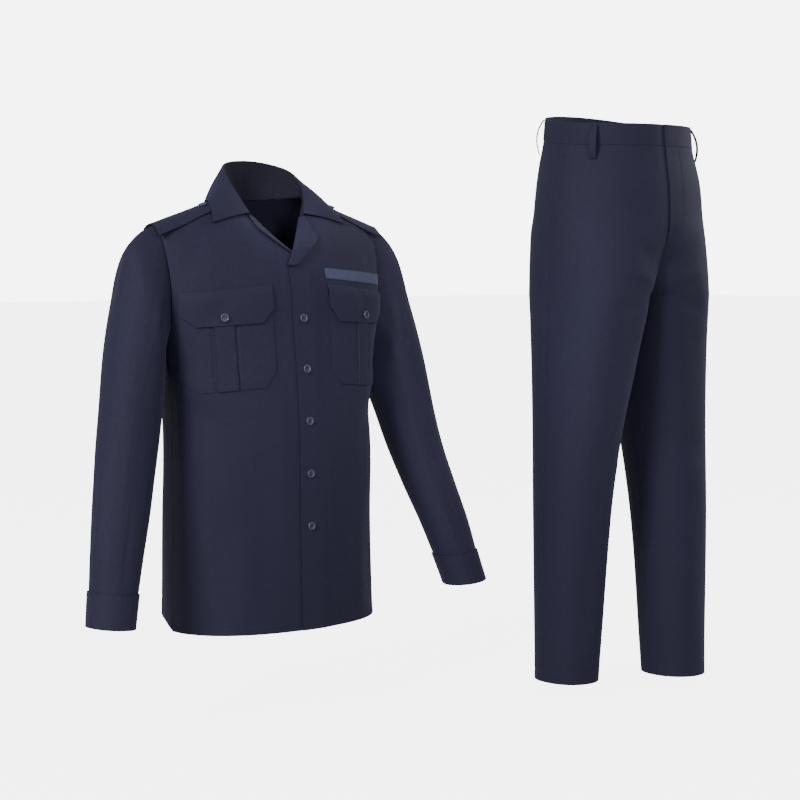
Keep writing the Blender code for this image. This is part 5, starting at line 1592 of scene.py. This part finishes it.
def epaulette_look(side, mirrored):
    """A strap along the shoulder, stitched round and buttoned by the collar."""
    grid = [[shoulder_point(l, middle + half * share) for share in EPAULETTE_ACROSS]
            for l, middle, half in zip(EPAULETTE_L, EPAULETTE_MIDDLE_F, EPAULETTE_HALF_WIDTH)]
    grid = np.array(grid)
    normals = grid_normals(grid)
    normals = normals * np.sign(normals[..., 2:3])
    base = grid + normals * np.array(EPAULETTE_LIFT)[:, None, None]
    rows = steps(0, len(grid) - 1, STRAP_FINE)
    columns = steps(0, len(grid[0]) - 1, STRAP_FINE)
    lower = read_grid(base, rows, columns)
    facing = unit(read_grid(normals, rows, columns))
    upper = lower + facing * (EPAULETTE_THICK + SKIN)
    cells = patch_cells(len(rows), len(columns))
    if np.cross(lower[0, 1] - lower[0, 0], lower[1, 0] - lower[0, 0])[2] < 0:
        cells = [cell[::-1] for cell in cells]
    name = "epaulette_" + side
    thing = shell(name, upper, lower, cells=cells, mirrored=mirrored, edge=STRAP_ROUND)
    l, f = EPAULETTE_BUTTON_L, EPAULETTE_MIDDLE_F[2]
    spot = shoulder_point(l, f)
    slope = unit(np.cross(spot - shoulder_point(l - SLOPE_PROBE, f),
                          shoulder_point(l, f - SLOPE_PROBE) - spot))
    slope = slope * np.sign(slope[2])
    lift = EPAULETTE_LIFT[2] + EPAULETTE_THICK + BUTTON_CLEAR
    dressed_button("button_epaulette_" + side, spot + slope * lift, slope, mirrored)
    stitches("stitches_" + name, inset_lines(upper, facing, BOTH_ROWS), mirrored)


def shirt_look():
    """Every piece of the shirt; the right ones are built as left ones and mirrored."""
    left, right, back = front_panel(True), front_panel(False), back_panel()
    fine_left = front_look("left", left, False)
    fine_right = front_look("right", right, True)
    back_look(back)
    sleeve, sleeve_walls = sleeve_grid(right, back)
    cuff, cuff_walls = cuff_grid(sleeve, sleeve_walls)
    for side, fine, mirrored in (("left", fine_left, False), ("right", fine_right, True)):
        sleeve_look(side, sleeve, sleeve_walls, mirrored)
        cuff_look(side, cuff, cuff_walls, mirrored)
        pocket_look(side, fine, mirrored)
        flap_look(side, fine, mirrored)
        epaulette_look(side, mirrored)
    tape_look(fine_left)
    front_buttons_look(fine_left)
    lapel_look("left", fine_left, LEFT_LAPEL_ROW, LEFT_LAPEL_COLUMN, False)
    lapel_look("right", fine_right, RIGHT_LAPEL_ROW, RIGHT_LAPEL_COLUMN, True)
    collar_look(left, back)


# Looks: trousers

def leg_grid(back, step, under):
    """Points, normals and cells of a trouser panel, read at fine steps."""
    count = (len(LEG_ROW_OUTSIDE) - 1) * LEG_ROW_FINE + 1
    whole = np.arange(len(LEG_ROW_OUTSIDE))
    at = np.linspace(0, whole[-1], count)
    outsides = np.interp(at, whole, LEG_ROW_OUTSIDE)
    insides = np.interp(at, whole, LEG_ROW_INSIDE)
    turns = [math.radians(k * LEG_ANGLE_STEP) for k in range(int(LEG_LAST_ANGLE / LEG_ANGLE_STEP))]
    near_column = len(turns)
    points, normals, fits = [], [], []
    for outside, inside in zip(outsides, insides):
        end = leg_end(inside)
        near = FLY_UNDERLAP / (leg_outer(inside) - leg_centre(inside))
        fits.append([angle < end - near - LEG_FINE_ROOM for angle in turns])
        angles = [angle if fit else end - near for angle, fit in zip(turns, fits[-1])]
        angles += [end - near, end] + [end + near] * int(under)
        heights = [outside + (inside - outside) * min(angle / end, 1.0) ** 2 for angle in angles]
        points.append([leg_point(z, angle, back, step) for z, angle in zip(heights, angles)])
        normals.append([leg_normal(z, angle, back, step) for z, angle in zip(heights, angles)])
    points, normals = np.array(points), np.array(normals)
    crotch, fly = CROTCH_ROW * LEG_ROW_FINE, FLY_ROW * LEG_ROW_FINE
    inner = near_column + 1
    away = SEAM / 2 if back else -SEAM / 2
    normals[:, 0] = square_to_seam(normals[:, 0], 1)
    points[:, 0, 1] += away
    points[:crotch + 1, inner, 1] += away
    points[crotch:, inner, 0] += SEAM / 2
    normals[:crotch, inner] = square_to_seam(normals[:crotch, inner], 1)
    normals[crotch, inner] = (0.0, 0.0, -1.0)
    normals[crotch + 1:, inner] = square_to_seam(normals[crotch + 1:, inner], 0)
    if under:
        sink_fly(points, normals, fly)
    cells = leg_cells(fits, back, under, near_column, fly)
    return points, normals, cells, fits


def sink_fly(points, normals, fly):
    """Lowers the right front's fly, to pass beneath the left one."""
    foot, full = LEG_ROW_INSIDE[FLY_ROW - 1], LEG_ROW_INSIDE[FLY_ROW]
    for i in range(fly - LEG_ROW_FINE, len(points)):
        for j, (l, _, z) in enumerate(points[i]):
            share = smooth_step((FLY_SINK_FADE - l) / FLY_SINK_FADE)
            share *= smooth_step((z - foot) / (full - foot))
            points[i, j] -= normals[i, j] * FLY_SINK * share


def leg_cells(fits, back, under, near_column, fly):
    """Cells of a trouser panel, without the points that crowd its inner edge."""
    cells = []
    for cell in patch_cells(len(fits), near_column + 2 + int(under)):
        if cell[0][1] > near_column and cell[0][0] < fly:
            continue
        corners = []
        for i, j in cell:
            corner = (i, j) if j >= near_column or fits[i][j] else (i, near_column)
            if corner not in corners:
                corners.append(corner)
        if len(corners) > 2:
            cells.append(tuple(corners) if back else tuple(corners[::-1]))
    return cells


def leg_look(part, side, step, mirrored):
    """One trouser panel, with its folds, side seam and hem."""
    back = part == "back"
    under = mirrored and not back
    points, normals, cells, fits = leg_grid(back, step, under)
    folds = TROUSER_BACK_FOLDS if back else TROUSER_FRONT_FOLDS
    turns = np.linspace(0, 1, len(points[0]))
    moved = folded(points[..., 0], points[..., 2], folds) * np.minimum(turns / LEG_FOLDS_FADE, 1.0)
    moved[:, -2 - int(under):] = 0.0
    moved[:, 0] = -SEAM_DIP
    if not back:
        moved += centre_groove(points)
    hem = points[..., 2] < LEG_ROW_OUTSIDE[0] + LEG_HEM
    outer = points + normals * (SKIN + moved + LEG_HEM_RISE * hem)[..., None]
    inner = points + normals * (moved - SHELL)[..., None]
    name = f"trouser_{part}_{side}"
    thing = shell(name, outer, inner, cells=cells, mirrored=mirrored, at=TROUSERS_AT)
    from_hem = points[:, 0, 2] - LEG_ROW_OUTSIDE[0]
    hem_row = int(np.argmin(np.abs(from_hem - LEG_HEM_STITCH)))
    kept = [j for j in range(len(points[0]) - 1) if j >= len(fits[0]) or fits[hem_row][j]]
    lines = [(outer[hem_row, kept], normals[hem_row, kept])]
    if not back:
        lines.append((outer[:, 1], normals[:, 1]))
    lines.append(inner_seam_line(outer, normals, len(fits[0])))
    if not back and not mirrored:
        lines += fly_lines(step)
    stitches("stitches_" + name, lines, mirrored, TROUSERS_AT)


def centre_groove(points):
    """The valley between the legs that starts below the fly."""
    near = np.exp(-(points[..., 0] / GROOVE_WIDTH) ** 2)
    share = np.clip((points[..., 2] - GROOVE_Z[0]) / (GROOVE_Z[1] - GROOVE_Z[0]), 0.0, 1.0)
    return -GROOVE_DEPTH * near * np.sin(math.pi * share) ** GROOVE_POWER


def inner_seam_line(outer, normals, near_column):
    """Stitches beside the inner edge, above the crotch."""
    rows = slice(CROTCH_ROW * LEG_ROW_FINE + 3, None)
    edge, near = outer[rows, near_column + 1], outer[rows, near_column]
    way = unit(near - edge)
    return edge + way * EDGE_STITCH, normals[rows, near_column + 1]


def fly_lines(step):
    """The J-shaped stitching of the fly, in two rows, with a bar at its foot."""
    top, bend_z = FLY_STITCH_Z
    lines = []
    for width in FLY_STITCH_L:
        places = [(width, z) for z in np.linspace(top, bend_z, 40)]
        for turn in np.linspace(0, math.pi / 2, 16)[1:]:
            places.append((FLY_STITCH_END + (width - FLY_STITCH_END) * math.cos(turn),
                           bend_z - (width - FLY_STITCH_FOOT) * math.sin(turn)))
        lines.append(leg_line([(z, leg_angle(l, z, step)) for l, z in places], step))
    bar = [(FLY_BAR_L[k % 2], z) for k, z in enumerate(np.linspace(*FLY_BAR_Z, 25))]
    lines.append(leg_line([(z, leg_angle(l, z, step)) for l, z in bar], step))
    return lines


def leg_angle(l, z, step):
    """Angle at which a trouser front has a given width at a given height."""
    low, high = math.pi / 4, leg_end(z)
    for _ in range(HALVINGS):
        angle = (low + high) / 2
        if leg_point(z, angle, False, step)[0] > l:
            low = angle
        else:
            high = angle
    return angle


def leg_line(places, step, lift=SKIN + STITCH_LIFT):
    """A line of stitches over a trouser front, through places given as height and angle."""
    normals = [leg_normal(z, angle, False, step) for z, angle in places]
    points = [leg_point(z, angle, False, step) + normal * lift
              for (z, angle), normal in zip(places, normals)]
    return points, normals


def waistband_look():
    """The waistband: doubled cloth with rounded edges, lapped at the fly."""
    start, whole = waist_turn(0), 2 * math.pi
    turns = list(np.linspace(0, start, WAISTBAND_FINE))[:-1]
    turns += [waist_turn(k) for k in steps(0, WAISTBAND_STEPS, WAISTBAND_FINE)]
    turns += list(np.linspace(turns[-1], whole, WAISTBAND_FINE))[1:]
    lapped = len(turns)
    turns += list(np.linspace(whole, whole + start, WAISTBAND_FINE))[1:]
    heights = np.linspace(WAIST_Z + SEAM, WAIST_TOP, WAISTBAND_ROWS)
    points = np.array([[waist_point(z, turn) for turn in turns] for z in heights])
    normals = grid_normals(points)
    normals[0] = square_to_seam(normals[0], 2)
    sink = np.zeros(len(turns))
    sink[lapped - 1:] = WAISTBAND_SINK
    sink[lapped - 4:lapped - 1] = WAISTBAND_SINK * np.array(WAISTBAND_SINK_SHARES)
    crown = WAISTBAND_CROWN * np.sin(np.linspace(0, math.pi, len(heights))) ** 0.5
    outer = points + normals * (SKIN + crown[:, None] - sink[None, :])[..., None]
    inner = points - normals * (FIRM + sink[None, :])[..., None]
    thing = shell("waistband", outer, inner, at=TROUSERS_AT, edge=WAISTBAND_ROUND)
    lines = [(outer[1], normals[1]), (outer[-2], normals[-2]), (outer[:, 1], normals[:, 1])]
    stitches("stitches_waistband", lines, at=TROUSERS_AT)


def belt_loop_look(number, column):
    """A belt loop, stitched down both sides and tacked at its ends."""
    top, foot = WAIST_TOP - BELT_LOOP_FROM_TOP, WAIST_Z - BELT_LOOP_BELOW
    half = BELT_LOOP_HALF_WIDTH / leg_outer(WAIST_Z)
    high, wide = BELT_LOOP_FINE
    points = []
    for share in np.linspace(0, 1, high):
        z = foot + (top - foot) * share
        lift = BELT_LOOP_CLEAR + BELT_LOOP_BOW * math.sin(math.pi * share) ** BELT_LOOP_POWER
        row = []
        for side in np.linspace(-1, 1, wide):
            turn = waist_turn(column) + side * half
            here = waist_point(z, turn)
            ahead = waist_point(z, turn + SLOPE_PROBE) - here
            row.append(here + unit(np.array((ahead[1], -ahead[0], 0.0))) * lift)
        points.append(row)
    points = np.array(points)
    normals = grid_normals(points)
    outer = points + normals * BELT_LOOP_THICK
    name = f"belt_loop_{number}"
    thing = shell(name, outer, points, at=TROUSERS_AT, edge=STRAP_ROUND)
    lines = [(outer[:, k], normals[:, k]) for k in (1, -2)]
    stitches("stitches_" + name, lines, at=TROUSERS_AT)
    tacks = [(outer[row, 1:-1], normals[row, 1:-1]) for row in BELT_LOOP_TACK_ROWS]
    stitches("tacks_" + name, tacks, at=TROUSERS_AT, radius=BELT_LOOP_TACK, **TACK)


def side_pocket_look(side, step, mirrored):
    """The side pocket: a slit beside the outer seam with a tack at each end."""
    slit, across = np.linspace(*SIDE_POCKET_Z, 50), np.linspace(*SIDE_POCKET_TACK_ANGLES, 12)
    lines = [leg_line([(z, angle) for z in slit], step, SIDE_POCKET_LIFT)
             for angle in SIDE_POCKET_ANGLES]
    tacks = [leg_line([(z, angle) for angle in across], step, SIDE_POCKET_TACK_LIFT)
             for z in SIDE_POCKET_TACK_Z]
    stitches("stitches_side_pocket_" + side, lines, mirrored, TROUSERS_AT)
    stitches("tacks_side_pocket_" + side, tacks, mirrored, TROUSERS_AT, radius=SIDE_POCKET_TACK,
             **TACK)


def trousers_look():
    """Every piece of the trousers."""
    for side, step, mirrored in (("left", 1.0, False), ("right", -1.0, True)):
        for part in ("front", "back"):
            leg_look(part, side, step, mirrored)
        side_pocket_look(side, step, mirrored)
    waistband_look()
    for k, column in enumerate(BELT_LOOP_COLUMNS):
        belt_loop_look(k + 1, column)


# Looks: studio

def hang_light(name, kind, place, aim, power):
    """A light at a place, turned to its aim."""
    light = bpy.data.lights.new(name, kind)
    light.energy = power
    lamp = bpy.data.objects.new(name, light)
    lamp.location = place
    way = np.array(aim) - np.array(place)
    lamp.rotation_euler = (math.atan2(math.hypot(way[0], way[1]), -way[2]), 0.0,
                           math.atan2(-way[0], way[1]))
    bpy.context.scene.collection.objects.link(lamp)
    return light


def lights():
    """The area lights and the narrow ones."""
    for name, place, aim, size, power, colour in AREA_LIGHTS:
        light = hang_light(name, "AREA", place, aim, power)
        light.shape = "RECTANGLE"
        light.size, light.size_y = size
        light.color = colour
    for name, place, aim, power, angle, softness in SPOT_LIGHTS:
        light = hang_light(name, "SPOT", place, aim, power)
        light.spot_size = math.radians(angle)
        light.spot_blend = SPOT_BLEND
        light.shadow_soft_size = softness


def seen_as(tree, shader, seen, output):
    """Sends one shader's light to the scene and shows another to the camera."""
    path = tree.nodes.new("ShaderNodeLightPath")
    both = tree.nodes.new("ShaderNodeMixShader")
    tree.links.new(path.outputs["Is Camera Ray"], both.inputs[0])
    tree.links.new(shader.outputs[0], both.inputs[1])
    tree.links.new(seen.outputs[0], both.inputs[2])
    tree.links.new(both.outputs[0], tree.nodes[output].inputs["Surface"])


def backdrop():
    """The plain white world, brighter where it is seen than where it lights."""
    world = bpy.data.worlds.new("studio")
    bpy.context.scene.world = world
    world.use_nodes = True
    light = world.node_tree.nodes["Background"]
    set_inputs(light, {"Color": WHITE, "Strength": SKY_LIGHT})
    seen = world.node_tree.nodes.new("ShaderNodeBackground")
    set_inputs(seen, {"Color": WHITE, "Strength": SKY_SEEN})
    seen_as(world.node_tree, light, seen, "World Output")


def floor():
    """A wide floor that takes a shadow and shows as white as the world behind it."""
    corners = ((-1, -1), (1, -1), (1, 1), (-1, 1))
    mesh = bpy.data.meshes.new("floor")
    mesh.from_pydata([(x * FLOOR_REACH, y * FLOOR_REACH, FLOOR_Z) for x, y in corners], [],
                     [(0, 1, 2, 3)])
    material, tree, shader = new_material("floor", FLOOR_ROUGHNESS)
    set_inputs(shader, {"Base Color": FLOOR_COLOUR})
    glow = tree.nodes.new("ShaderNodeEmission")
    set_inputs(glow, {"Strength": FLOOR_GLOW})
    lit = tree.nodes.new("ShaderNodeAddShader")
    tree.links.new(shader.outputs[0], lit.inputs[0])
    tree.links.new(glow.outputs[0], lit.inputs[1])
    seen_as(tree, shader, lit, "Material Output")
    mesh.materials.append(material)
    thing = bpy.data.objects.new("floor", mesh)
    bpy.context.scene.collection.objects.link(thing)


def photo_camera():
    """The photograph's camera."""
    lens = bpy.data.cameras.new("photo")
    lens.lens = CAMERA_LENS
    lens.sensor_width = CAMERA_FILM
    camera = bpy.data.objects.new("photo", lens)
    camera.location = CAMERA_PLACE
    camera.rotation_euler = (math.radians(90.0 - CAMERA_TILT), 0.0, math.radians(CAMERA_TURN))
    bpy.context.scene.collection.objects.link(camera)
    bpy.context.scene.camera = camera


photo_camera()
backdrop()
floor()
lights()
shirt_look()
trousers_look()
